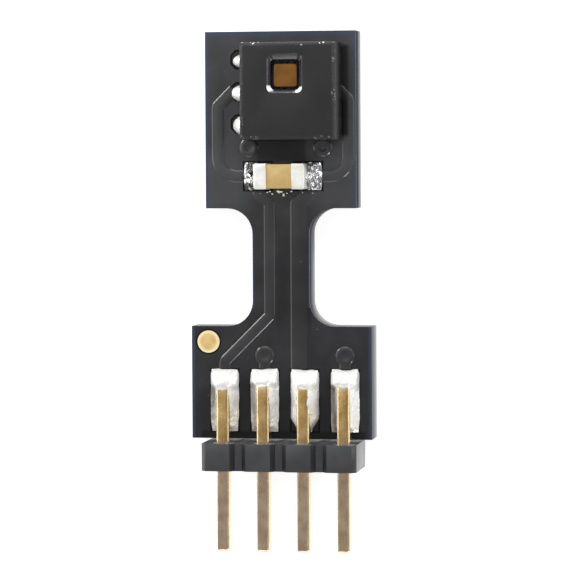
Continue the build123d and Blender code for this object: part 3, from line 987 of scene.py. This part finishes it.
# %% [markdown]
# Plated holes under the coating
#
# Data and clock go through the board in two plated holes each. The coating climbs over the ring of each
# hole and sinks in its middle. A torus with a dent would need a boolean. A full turn of one profile makes
# ring and dent at once, and a short ridge joins it to its pad or to the chip.

# %% Spin the hole covers
RING, HOLE = 0.25 * MM, 0.14 * MM
COVER_PROFILE = [
    (RING + OVER * 0.5, 0.0), (RING + OVER * 0.36, 0.25), (RING + OVER * 0.18, 0.7),
    (RING - OVER * 0.1, 1.0), (HOLE + OVER * 0.3, 1.0), (HOLE, 0.75),
    (HOLE * 0.75, 0.3), (HOLE * 0.4, 0.08),
]


def hole_cover(name, x, y, height=ridge_height, level=film_level):
    bm = bmesh.new()
    row = [bm.verts.new((x + radius, y, level + rise * height)) for radius, rise in COVER_PROFILE]
    edges = [bm.edges.new(pair) for pair in zip(row, row[1:])]
    full_turn = 2 * math.pi
    bmesh.ops.spin(
        bm, geom=row + edges, cent=(x, y, 0), axis=(0, 0, 1), angle=full_turn, steps=36, use_merge=True
    )
    bmesh.ops.holes_fill(bm, edges=[e for e in bm.edges if e.is_boundary], sides=0)
    hand_over(name, bm, [track_coating_finish], crisp=70)


BELOW_CHIP, ABOVE_PAD, UNDER_CHIP = 0.23 * MM, 0.45 * MM, 0.03 * MM
HALF_LAND, LAND_TO_HOLE = 0.35 * MM, 0.18 * MM
head_hole_y = chip_low.y - BELOW_CHIP
base_hole_y = pad_top - LAND_GAP + ABOVE_PAD
land_middle = (land_left[0].x + land_right[1].x) / 2
hole_out = land_right[1].x - land_middle - HALF_LAND - LAND_TO_HOLE
HOLES = {
    "data_head": (land_middle - hole_out, head_hole_y),
    "clock_head": (land_middle + hole_out, head_hole_y),
    "data_base": (pin_middles[1], base_hole_y),
    "clock_base": (pin_middles[3], base_hole_y),
}
for label, (x, y) in HOLES.items():
    hole_cover(f"via_{label}", x, y)
    way = -1 if label.endswith("base") else 1
    end_y = pad_top if way < 0 else chip_low.y + UNDER_CHIP
    path = [Vector((x, y + way * RING * 0.8, 0)), Vector((x, end_y, 0))]
    ridge(f"ridge_{label}", path, SIGNAL + OVER, ridge_height)

# %% [markdown]
# Tracks on the back
#
# Data and clock run down the neck on the back, from hole to hole. The photo doesn't show them, but the
# holes tell where they start and end. The same swept section and the same spun cover make them, pointing
# down by a little less than the back was raised, so that nothing stands out past the board.

# %% Sweep the back ridges
BACK_HEIGHT = -0.9 * BACK_LEVEL
BACK_WIDTH = 0.25 * MM
BACK_START = 0.35 * MM
BACK_RAILS = {"data": -0.35 * MM, "clock": 0.40 * MM}
for net, rail in BACK_RAILS.items():
    head_x, head_y = HOLES[f"{net}_head"]
    base_x, base_y = HOLES[f"{net}_base"]
    turn = head_y - BACK_START
    path = round_turns(
        [(head_x, head_y), (head_x, turn), (rail, turn - abs(head_x - rail)),
         (rail, base_y + abs(base_x - rail)), (base_x, base_y)],
        last_radius=0.05 * MM,
    )
    ridge(f"back_ridge_{net}", path, BACK_WIDTH + OVER, BACK_HEIGHT, BACK_LEVEL)
    hole_cover(f"back_via_{net}_head", head_x, head_y, BACK_HEIGHT, BACK_LEVEL)
    hole_cover(f"back_via_{net}_base", base_x, base_y, BACK_HEIGHT, BACK_LEVEL)

# %% [markdown]
# The sensor chip
#
# The chip is a moulded block 3 mm square, with upper edges that are rough and slightly rounded where it
# was sawn from its strip. A block with a Bevel modifier would do. The bmesh bevel is used instead,
# because it returns the new faces, and those are just the ones that need the sawn finish.


# %% Shape the chip's block
SAWN_EDGE = 0.12 * MM
SIDE_IN = Vector((0.004 * MM, 0, 0))
TOUCH = 1e-7


def block(bm, low, high):
    """A box between two corners. Returns its vertices."""
    made = bmesh.ops.create_cube(bm, size=1)["verts"]
    bmesh.ops.scale(bm, vec=high - low, verts=made)
    bmesh.ops.translate(bm, vec=(low + high) / 2, verts=made)
    return made


def soften(bm, edges, width, segments=2):
    """Rounds edges. Returns the new faces."""
    return bmesh.ops.bevel(
        bm, geom=list(edges), offset=width, affect="EDGES", segments=segments, profile=0.5, material=-1
    )["faces"]


def loose_piece(name, bm, finishes):
    """An object that is only a step on the way to a piece."""
    mesh = bpy.data.meshes.new(name)
    bm.to_mesh(mesh)
    bm.free()
    for finish in finishes:
        mesh.materials.append(finish.material)
    piece = bpy.data.objects.new(name, mesh)
    bpy.context.scene.collection.objects.link(piece)
    return piece


body = bmesh.new()
block(body, chip_low + SIDE_IN, chip_high - SIDE_IN)
upper = [e for e in body.edges if all(v.co.z > chip_high.z - TOUCH for v in e.verts)]
for face in soften(body, upper, SAWN_EDGE, 4):
    face.material_index = 1
blank = loose_piece("blank", body, [epoxy_finish, sawn_finish])
print("the chip's block has", len(blank.data.polygons), "faces")

# %% [markdown]
# The window's air
#
# The window is a rounded shaft down to the die, and it widens like a funnel to its mouth, which lies a
# little further up the chip. Such a hole can be cut with insets and pushes, but rounded corners make that
# untidy. It is easier to model the air that fills it: a rounded box whose top is extruded and scaled
# twice, the second time to just above the chip, so that the cut is clean.


# %% Shape a plug for the window
MOUTH = Vector((1.10, 1.235, 0)) * MM
SHAFT = Vector((0.92, 0.94, 0)) * MM
RAISED = 0.055 * MM
SPILL = 0.005 * MM
CORNER_ROUND = 0.14 * MM
WINDOW_LEFT, WINDOW_UP = 0.08 * MM, 0.50 * MM
chip_middle = (chip_low + chip_high) / 2
window_middle = Vector((chip_middle.x - WINDOW_LEFT, chip_middle.y + WINDOW_UP, 0))


def window_plug(floor_z, bevel_z, top_z):
    """The shape of the window's air: a rounded shaft that widens to the mouth."""
    bm = bmesh.new()
    half = SHAFT / 2
    block(bm, Vector((-half.x, -half.y, floor_z)), Vector((half.x, half.y, bevel_z)))
    upright = [e for e in bm.edges if abs(e.verts[0].co.z - e.verts[1].co.z) > 1e-6]
    soften(bm, upright, CORNER_ROUND, 6)
    spread = 1 + SPILL / (top_z - bevel_z)
    before = SHAFT
    for level, size in ((top_z, MOUTH), (top_z + SPILL, SHAFT + (MOUTH - SHAFT) * spread)):
        highest = max(v.co.z for v in bm.verts)
        top = [f for f in bm.faces if f.calc_center_median().z > highest - 1e-8]
        ring = bmesh.ops.extrude_face_region(bm, geom=top)["geom"]
        bmesh.ops.delete(bm, geom=top, context="FACES")
        for vertex in [g for g in ring if isinstance(g, bmesh.types.BMVert)]:
            x = vertex.co.x * size.x / before.x
            y = vertex.co.y * size.y / before.y + RAISED
            vertex.co = Vector((x, y, level))
        before = size
    for face in bm.faces:
        face.material_index = 1 if face.calc_center_median().z < bevel_z + TOUCH else 0
    bmesh.ops.translate(bm, vec=window_middle, verts=bm.verts)
    bmesh.ops.recalc_face_normals(bm, faces=bm.faces)
    return loose_piece("plug", bm, [window_finish, shaft_finish])


cutter = window_plug(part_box("sensor_die")[1].z, chip_high.z - SAWN_EDGE, chip_high.z)
print("the plug has", len(cutter.data.polygons), "faces")

# %% [markdown]
# Cutting the window
#
# A boolean takes the plug's shape out of the block, and with its materials carried over, the funnel and
# the shaft get their own finishes. The modifier could stay on the piece, but then the plug would stay in
# the scene. So the result becomes the mesh, and the lip is rounded last, on the edges between the chip's
# top and the funnel.


# %% Cut the window
def cut(piece, tool):
    """Cuts one piece with another and removes the tool."""
    modifier = piece.modifiers.new("cut", "BOOLEAN")
    modifier.operation = "DIFFERENCE"
    modifier.solver = "EXACT"
    modifier.object = tool
    modifier.material_mode = "TRANSFER"
    evaluated = piece.evaluated_get(bpy.context.evaluated_depsgraph_get())
    shape = bpy.data.meshes.new_from_object(evaluated)
    piece.modifiers.remove(modifier)
    bpy.data.objects.remove(tool)
    return shape


LIP_ROUND = 0.02 * MM
chip_shape = cut(blank, cutter)
bpy.data.objects.remove(blank)
print("chip materials:", [material.name for material in chip_shape.materials])
body = bmesh.new()
body.from_mesh(chip_shape)
lip = [e for e in body.edges if all(v.co.z > chip_high.z - TOUCH for v in e.verts)
       and {f.material_index for f in e.link_faces} == {0, 2}]
print("edges of the lip:", len(lip))
soften(body, lip, LIP_ROUND, 2)
CHIP_FINISHES = [epoxy_finish, sawn_finish, window_finish, shaft_finish]
hand_over("chip_body", body, CHIP_FINISHES, ["sensor_body"])

# %% [markdown]
# The capacitor's ceramic
#
# The capacitor is a block of tan ceramic between two tinned caps. Fired ceramic is tumbled before it is
# dipped, so its edges are slightly round. A plain bevel on every edge is all it takes.

# %% Ceramic block
CERAMIC_ROUND = 0.03 * MM
ceramic = bmesh.new()
block(ceramic, cap_low, cap_high)
soften(ceramic, ceramic.edges[:], CERAMIC_ROUND, 2)
hand_over("capacitor_ceramic", ceramic, [ceramic_finish], ["capacitor_body"])

# %% [markdown]
# The capacitor's caps
#
# The caps were dipped in tin, so their edges are round, their surface is uneven and the rim of the dip
# wanders. A Displace modifier with a noise would do, but the rim has to wander more than the faces. A
# smooth random number that depends only on the point moves each vertex the same way in every run, and
# twice as far at the inner rim.


# %% Dip the caps
def lump(point, size, seed):
    """A smooth random number from -1 to 1 that changes over a distance of about size."""
    return noise.noise(Vector(point) / size + Vector((seed, -seed, seed * 0.5)))


CAP_ROUND = 0.07 * MM
CAP_LUMPS = 0.16 * MM
CAP_DEPTH = 0.012
for label, way, seed in (("left", -1, 3.0), ("right", 1, 8.0)):
    low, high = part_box(f"capacitor_{label}_terminal")
    bm = bmesh.new()
    block(bm, low, high)
    outer = [e for e in bm.edges if all((v.co.x - (low.x + high.x) / 2) * way > 0 for v in e.verts)]
    longways = [e for e in bm.edges if abs(e.verts[0].co.x - e.verts[1].co.x) > 1e-6]
    soften(bm, set(outer + longways), CAP_ROUND, 4)
    long_edges = [e for e in bm.edges if e.calc_length() > 0.15 * MM]
    bmesh.ops.subdivide_edges(bm, edges=long_edges, cuts=6, use_grid_fill=True)
    for vertex in bm.verts:
        shift = lump(vertex.co, CAP_LUMPS, seed) * CAP_DEPTH * MM
        on_rim = abs(vertex.co.x - (low.x if way > 0 else high.x)) < TOUCH
        vertex.co.x += shift * (2.0 if on_rim else 1.0)
        vertex.co.z = min(vertex.co.z + shift * 0.5, high.z + 0.004 * MM)
    replaced = [f"capacitor_{label}_terminal"]
    hand_over(f"capacitor_cap_{label}", bm, [tin_finish], replaced, crisp=50)

# %% [markdown]
# The shape of a solder joint
#
# Molten solder pulls itself into smooth curves: hollow where it climbs a pin, domed where it covers the
# pin's end. A fluid simulation would find that shape, but slowly. A formula is enough, because a joint is
# seen from above as a height over its pad: a hollow slope beside the pin, a crown past its tip, a smooth
# step from one to the other, and a little noise.

# %% Height of the solder
PAD_HALF = 0.45 * MM
PIN_HALF = (pin_boxes[0][1].x - pin_boxes[0][0].x) / 2
PIN_SIDE = PIN_HALF * 0.82
THINNEST = 0.006 * MM
EDGE_HEIGHT = 0.055 * MM
TIP_BLEND = 0.24 * MM
pin_top = pin_boxes[0][1].z - pad_level
tip_y = pin_boxes[0][1].y
joint_low, joint_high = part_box("header_solder_1")
joint_low_y, joint_high_y = joint_low.y - 0.08 * MM, joint_high.y + 0.09 * MM


def smooth_step(value):
    """Rises from 0 to 1 and is flat at both ends."""
    value = max(0.0, min(1.0, value))
    return value * value * (3 - 2 * value)


def joint_height(x, y, half, seed, dome, wall, cover, power):
    """Height of the solder above the pad, for a point given from the middle of the pad."""
    along = (y - joint_low_y) / (joint_high_y - joint_low_y)
    past_tip = smooth_step((y - tip_y + cover * MM) / TIP_BLEND)
    side = min(1.0, abs(x) / half)
    climb = wall + (1.0 - wall) * smooth_step((along - 0.15) / 0.5)
    start = smooth_step(along / 0.10)
    reach = max(0.0, (abs(x) - PIN_SIDE) / (half - PIN_SIDE))
    hollow = climb * pin_top * (1 - reach) ** power * (0.35 + 0.65 * start)
    if abs(x) < PIN_SIDE:
        hollow = min(hollow, 0.93 * pin_top)
    fall = max(0.0, 1 - max(0.0, (y - tip_y) / (joint_high_y - tip_y)) ** 2.4)
    crown = dome * pin_top * (1 - side ** 2.6) ** 0.6 * fall ** 0.7
    height = hollow * (1 - past_tip) + crown * past_tip
    fine = lump((x, y, seed), 0.2 * MM, seed) * 0.03
    rough = fine + lump((x, y, -seed), 0.45 * MM, seed) * 0.07
    edge = EDGE_HEIGHT * (1 - side ** 8) * smooth_step(along / 0.04) * smooth_step((1 - along) / 0.04)
    return max(THINNEST, edge, height * (1 + rough) + rough * 0.12 * MM * (1 - side ** 4))


print("joint length in mm:", round((joint_high_y - joint_low_y) / MM, 2))

# %% [markdown]
# Painted shade on the joints
#
# The left flank of each joint, below the pin's tip, is painted a dull brown: painted shade where the
# hollow flank mirrors the dark board. A separate film would flicker against the solder, because it has no
# thickness. A tone mixed into each joint's own finish doesn't, and a share says how much of it each joint
# gets.


# %% Solder with painted shade
LEFT_FLANK_SHADE = (0.17, 0.15, 0.105)


def flowed_solder(index, share):
    """Solder of one header joint. The share says how much painted shade darkens its left flank."""
    made, patches, bright = solder(f"flowed_solder_{index}")
    middle, tip = pin_middles[index - 1] / MM, pin_boxes[index - 1][1].y / MM
    left_side = made.ramp(made.x, middle - 0.29, middle - 0.18, share, 0.0)
    below_tip = made.ramp(made.y, tip - 0.15, tip + 0.1, 1.0, 0.0)
    # Painted shade on the left flank, below the tip.
    painted_flank_shade = made.times(made.times(left_side, below_tip), made.ramp(patches, 0.35, 0.65, 0.45, 1.0))
    made.paint(made.blend(painted_flank_shade, bright, LEFT_FLANK_SHADE))
    made.describe()
    return made


# %% [markdown]
# The solder joints of the header
#
# Each joint is a grid over its pad whose points are lifted to the height of the solder. Its sides narrow
# at the ends and waver, as real solder does at the edge of a pad. A sheet alone would be open below, so
# its rim is drawn down to the pad and the bottom is filled. No two joints are alike, and a short list
# says how they differ: how high the dome and the wall stand, how far the solder covers the pin's tip, how
# much it is pinched at the start, the painted shade on its left flank, and the power of its hollow, where a
# lower one is fuller.


# %% Solder the pins
def skirt(bm, level):
    """Closes a sheet downwards: its rim is drawn down to a level and the bottom is filled."""
    rim = [e for e in bm.edges if e.is_boundary]
    made = bmesh.ops.extrude_edge_only(bm, edges=rim)["geom"]
    for vertex in [g for g in made if isinstance(g, bmesh.types.BMVert)]:
        vertex.co.z = level
    bmesh.ops.holes_fill(bm, edges=[e for e in bm.edges if e.is_boundary], sides=0)


def header_joint(index, seed, dome, wall, pinch, cover, flank_shade, power):
    bm = bmesh.new()
    bmesh.ops.create_grid(bm, x_segments=44, y_segments=90, size=1)
    for vertex in bm.verts:
        across, along = vertex.co.x, vertex.co.y
        y = joint_low_y + (along + 1) / 2 * (joint_high_y - joint_low_y)
        low_end, high_end = (1 - along) / 2, (1 + along) / 2
        pinched = pinch * smooth_step((low_end - 0.76) / 0.24)
        narrow = pinched + 0.09 * smooth_step((high_end - 0.93) / 0.07)
        wave = 0.035 * lump((0, y, seed), 0.3 * MM, seed + (across > 0))
        half = PAD_HALF * (1 - narrow + wave * abs(across))
        x = across * half
        at_end = smooth_step((high_end - 0.7) / 0.3)
        end_wave = 0.04 * MM * lump((x, 0, seed), 0.25 * MM, seed) * at_end
        height = joint_height(x, y, half, seed, dome, wall, cover, power)
        vertex.co = Vector((pin_middles[index - 1] + x, y + end_wave, pad_level + height))
    skirt(bm, pad_level)
    finish = flowed_solder(index, flank_shade)
    hand_over(f"solder_joint_{index}", bm, [finish], [f"header_solder_{index}"], crisp=80)


JOINTS = [
    dict(seed=3.7, dome=1.10, wall=0.50, pinch=0.10, cover=0.24, flank_shade=0.92, power=1.15),
    dict(seed=9.2, dome=1.12, wall=0.46, pinch=0.06, cover=0.15, flank_shade=0.78, power=1.25),
    dict(seed=5.1, dome=1.06, wall=0.90, pinch=0.52, cover=0.22, flank_shade=0.05, power=0.60),
    dict(seed=12.6, dome=1.14, wall=0.60, pinch=0.05, cover=0.20, flank_shade=1.0, power=1.25),
]
for index, joint in enumerate(JOINTS, 1):
    header_joint(index, **joint)

# %% [markdown]
# The shape of a small fillet
#
# At the chip and the capacitor the solder leans against a wall and runs out to the end of its pad. It
# bulges at the chip, and at the capacitor it is hollow. A quarter of a sphere would fit neither. The same
# grid with a height, closed down to the pad, does both: the power of one curve makes it bulge or sink.


# %% Shape a fillet
def end_fillet(name, node, way, wall_x, power, outline, seed, rough, longer, wider, finish, shift_y=0.0):
    """A fillet from a wall out to the end of its pad. A power over 1 bulges, under 1 is hollow."""
    low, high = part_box(node)
    outer_x = (low.x if way < 0 else high.x) + way * longer * MM
    reach = abs(outer_x - wall_x)
    top = high.z - pad_level
    middle_y = (low.y + high.y) / 2 + shift_y
    half_y = (high.y - low.y) / 2 * wider
    bm = bmesh.new()
    bmesh.ops.create_grid(bm, x_segments=26, y_segments=30, size=1)
    for vertex in bm.verts:
        out, across = (vertex.co.x + 1) / 2, vertex.co.y
        length = reach * (1 - outline * abs(across) ** 2.4)
        rise = (1 - out ** power) if power >= 1 else (1 - out) ** (1 / power)
        rise *= (1 - 0.6 * abs(across) ** 3)
        wave = lump((out * reach, across * half_y, seed), 0.13 * MM, seed) * rough
        edge = 0.04 * MM * (1 - out ** 6) * (1 - abs(across) ** 10)
        height = max(THINNEST, edge, top * rise * (1 + wave) + 0.05 * MM * wave * (1 - out ** 4))
        x, y = wall_x + way * out * length, middle_y + across * half_y
        vertex.co = Vector((x, y, pad_level + height))
    skirt(bm, pad_level)
    hand_over(name, bm, [finish], [node], crisp=80)


# %% [markdown]
# Fillets at the chip and the capacitor
#
# Three fillets show at the chip's left side, where the pads reach out from under it, and one at each end
# of the capacitor. They could be copies of one mesh, but the eye finds copies at once. Each has its own
# seed, and those at the chip differ in size too.

# %% Solder the chip and the capacitor
CHIP_POWER, CAP_POWER = 2.2, 0.62
CHIP_SHIFT = -0.045 * MM
for index, longer, wider in ((1, -0.035, 0.88), (2, 0.03, 1.08), (3, -0.035, 1.26)):
    end_fillet(
        f"chip_fillet_{index}", f"sensor_solder_{index}", -1, chip_low.x, CHIP_POWER, 0.50,
        index * 2.3, 0.10, longer, wider, solder_finish, CHIP_SHIFT,
    )
for label, way, seed in (("left", -1, 4.4), ("right", 1, 7.9)):
    low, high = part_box(f"capacitor_{label}_terminal")
    wall_x = low.x if way < 0 else high.x
    end_fillet(
        f"capacitor_fillet_{label}", f"capacitor_{label}_solder", way, wall_x, CAP_POWER, 0.10,
        seed, 0.8, 0.08, 1.12, foot_finish,
    )

# %% [markdown]
# Solder beads
#
# Melting solder paste throws off tiny beads, and a row of them sits on the coating below the capacitor. A
# scatter would put them anywhere. Their places are few enough to list one by one, as steps from the
# capacitor's middle, and a flattened sphere of two subdivisions is round enough at this size.

# %% Scatter the beads
BEADS = [
    (-0.72, -0.53, 0.030), (-0.50, -0.50, 0.022), (-0.34, -0.55, 0.026), (-0.12, -0.50, 0.034),
    (0.02, -0.56, 0.028), (0.12, -0.53, 0.022), (0.62, -0.51, 0.030), (0.80, -0.56, 0.024),
    (0.93, -0.53, 0.03), (-0.16, -0.46, 0.042), (-0.05, -0.48, 0.036), (0.26, -0.47, 0.028),
    (-0.42, -0.47, 0.028), (0.02, -0.60, 0.03),
]
FLATTENED = (1.3, 0.9, 0.7)
beads = bmesh.new()
for x, y, radius in BEADS:
    made = bmesh.ops.create_icosphere(beads, subdivisions=2, radius=radius * MM)["verts"]
    bmesh.ops.scale(beads, vec=FLATTENED, verts=made)
    place = (cap_middle.x + x * MM, cap_middle.y + y * MM, film_level + radius * 0.5 * MM)
    bmesh.ops.translate(beads, vec=place, verts=made)
hand_over("solder_beads", beads, [solder_finish])

# %% [markdown]
# The header
#
# The header is four octagonal blocks moulded round the pins and joined by webs. One extruded outline
# would give it too, but each of its corners would need its place worked out. Four blocks with one flat
# bevel each are octagons at once. The faces between two blocks get the groove's darker finish, which is
# painted shade, and then every crisp edge of the blocks gets a small round, because the edges of a
# moulding are never sharp. The webs lie deeper and stay plain.


# %% Mould the header
def crisp_edges(bm, angle=30):
    return [e for e in bm.edges if len(e.link_faces) == 2 and e.calc_face_angle() > math.radians(angle)]


PITCH, GROOVE = 1.27, 0.22
BLOCK_HALF = (PITCH - GROOVE) / 2 * MM
CORNER = 0.14 * MM
MOULD_ROUND = 0.02 * MM
WEB_OVERLAP = 0.03 * MM
WEB_INSET = 0.004 * MM
moulding = bmesh.new()
for middle in pin_middles:
    low = Vector((middle - BLOCK_HALF, header_low.y, header_low.z))
    high = Vector((middle + BLOCK_HALF, header_high.y, header_high.z))
    made = set(block(moulding, low, high))
    along_board = [e for e in moulding.edges
                   if e.verts[0] in made and abs(e.verts[0].co.y - e.verts[1].co.y) > 1e-6]
    soften(moulding, along_board, CORNER, 1)
ends = (header_low.x + CORNER, header_high.x - CORNER)
for face in moulding.faces:
    inside = ends[0] < face.calc_center_median().x < ends[1]
    face.material_index = 1 if inside and abs(face.normal.x) > 0.5 else 0
soften(moulding, crisp_edges(moulding), MOULD_ROUND, 2)
for left, right in zip(pin_middles, pin_middles[1:]):
    low = Vector((left + BLOCK_HALF - WEB_OVERLAP, header_low.y + WEB_INSET, header_low.z + CORNER))
    high = Vector((right - BLOCK_HALF + WEB_OVERLAP, header_high.y - WEB_INSET, header_high.z - CORNER))
    block(moulding, low, high)
header_finishes = [header_finish, groove_shade_finish]
hand_over("header_moulding", moulding, header_finishes, ["header_body"])

# %% [markdown]
# The pins
#
# The pins are square wire whose edges were rolled over when it was drawn. A plain box has edges that
# never catch the light. The rounded edges matter most here: they mirror both side panels and draw the
# bright lines along each pin.

# %% Draw the pins
PIN_ROUND = 0.085 * MM
for index, (low, high) in enumerate(pin_boxes, 1):
    pin = bmesh.new()
    block(pin, low, high)
    soften(pin, pin.edges[:], PIN_ROUND, 4)
    hand_over(f"pin_{index}", pin, [pin_finish], [f"header_pin_{index}"], crisp=50)

# %% [markdown]
# The floor
#
# The photo has a pure white ground with a faint shadow. A white floor lit until it clips would light the
# object from below as well. This one is grey and only glows towards the camera, and in reflections and
# through glass, so metal mirrors a white ground and the shadow stays.

# %% White floor
FLOOR_SIZE = 0.6
FLOOR_GREY = 0.45
FLOOR_GLOW = 0.78
sheet = bmesh.new()
bmesh.ops.create_grid(sheet, x_segments=1, y_segments=1, size=FLOOR_SIZE)
floor_mesh = bpy.data.meshes.new("floor")
sheet.to_mesh(floor_mesh)
sheet.free()
floor = bpy.data.objects.new("floor", floor_mesh)
bpy.context.scene.collection.objects.link(floor)

floor_finish = bpy.data.materials.new("white_floor")
floor_finish.use_nodes = True
floor_mesh.materials.append(floor_finish)
tree = floor_finish.node_tree
shader = tree.nodes["Principled BSDF"]
shader.inputs["Base Color"].default_value = (FLOOR_GREY, FLOOR_GREY, FLOOR_GREY, 1)
shader.inputs["Roughness"].default_value = 1.0
shader.inputs["Specular IOR Level"].default_value = 0.0
shader.inputs["Emission Color"].default_value = (1, 1, 1, 1)
seen = tree.nodes.new("ShaderNodeLightPath")
direct = math_node(tree, "MAXIMUM", seen.outputs["Is Camera Ray"], seen.outputs["Is Glossy Ray"])
direct = math_node(tree, "MAXIMUM", direct, seen.outputs["Is Transmission Ray"])
tree.links.new(math_node(tree, "MULTIPLY", direct, FLOOR_GLOW), shader.inputs["Emission Strength"])
print("floor half size in m:", FLOOR_SIZE)

# %% [markdown]
# The sky
#
# The photo's light is even, without a dark side. A white sky would give that too, but wash out the flat
# metal. A grey one overhead keeps the flat tops calm, and leaves the bright lines to the panels. The
# camera itself still sees white past the floor.

# %% Grey sky
SKY = 0.31
world = bpy.data.worlds.new("grey_sky")
bpy.context.scene.world = world
world.use_nodes = True
background = world.node_tree.nodes["Background"]
background.inputs["Color"].default_value = (1, 1, 1, 1)
sees = world.node_tree.nodes.new("ShaderNodeLightPath")
lifted = math_node(world.node_tree, "MULTIPLY", sees.outputs["Is Camera Ray"], 1 - SKY)
world.node_tree.links.new(math_node(world.node_tree, "ADD", lifted, SKY), background.inputs["Strength"])
print("sky strength:", SKY)


# %% [markdown]
# White panels
#
# In the photo, the bevels, the solder and the pins mirror broad white areas on both sides and at the top.
# Point lamps would leave pinpricks on the metal, and sun lamps no shape at all. Area lamps have the shape
# of a panel. The brightness is what a mirror would show, where 1 is white, and it is turned into the
# lamp's power from its size, so a panel can be made larger without growing brighter. The three spots are
# small and strong, and mostly draw highlights.


# %% Set up the panels
def panel(name, place, width, height, brightness):
    """A white panel aimed at the object. Places and sizes are in millimetres."""
    light = bpy.data.lights.new(name, "AREA")
    light.shape = "RECTANGLE"
    light.size, light.size_y = width * MM, height * MM
    light.energy = brightness * math.pi * width * height * MM * MM
    holder = bpy.data.objects.new(name, light)
    bpy.context.scene.collection.objects.link(holder)
    holder.location = Vector(place) * MM
    holder.rotation_mode = "QUATERNION"
    holder.rotation_quaternion = holder.location.to_track_quat("Z", "Y")
    print(name, "has a power of", round(light.energy, 4), "W")


panel("panel_left", (-32, 9, 17), 36, 22, 2.2)
panel("panel_top", (-6, 42, 26), 40, 16, 3.6)
panel("panel_right", (80, 15, 38), 50, 46, 1.45)
panel("panel_over", (-28, 40, 92), 70, 70, 0.6)
panel("strip_low", (-17, -84, 40), 60, 46, 2.3)
panel("spot_left", (-60, 45, 14), 26, 26, 16.0)
panel("spot_right", (46, 55, 23), 26, 26, 16.0)
panel("spot_low", (45, -55, 40), 20, 20, 14.0)

# %% [markdown]
# The camera
#
# The photo looks down on the board from a little to the right, through a long lens. The camera could be
# placed by eye, but a degree would already show in the pins. Its place was found by fitting the corners
# of the board, the chip and the pins to the photo. Its axes are worked out from where it looks, and then
# rolled by a small angle.

# %% Place the camera
CAMERA = Vector((15.88, 4.42, 89.75)) * MM
AIM = Vector((0.217, 0.124, 1.0)) * MM
ROLL = -0.005
LENS = 181.0
SENSOR = 36.0
camera_data = bpy.data.cameras.new("camera")
camera_data.lens, camera_data.sensor_width = LENS, SENSOR
camera_data.clip_start, camera_data.clip_end = 0.001, 10
camera = bpy.data.objects.new("camera", camera_data)
bpy.context.scene.collection.objects.link(camera)
look = (AIM - CAMERA).normalized()
right = look.cross(Vector((0, 1, 0))).normalized()
up = right.cross(look)
cos_roll, sin_roll = math.cos(ROLL), math.sin(ROLL)
right, up = cos_roll * right + sin_roll * up, cos_roll * up - sin_roll * right
turn = Matrix((right, up, -look)).transposed()
camera.matrix_world = Matrix.Translation(CAMERA) @ turn.to_4x4()
bpy.context.scene.camera = camera
bpy.context.scene.view_settings.view_transform = "Standard"
print("camera distance in mm:", round((AIM - CAMERA).length / MM, 1))
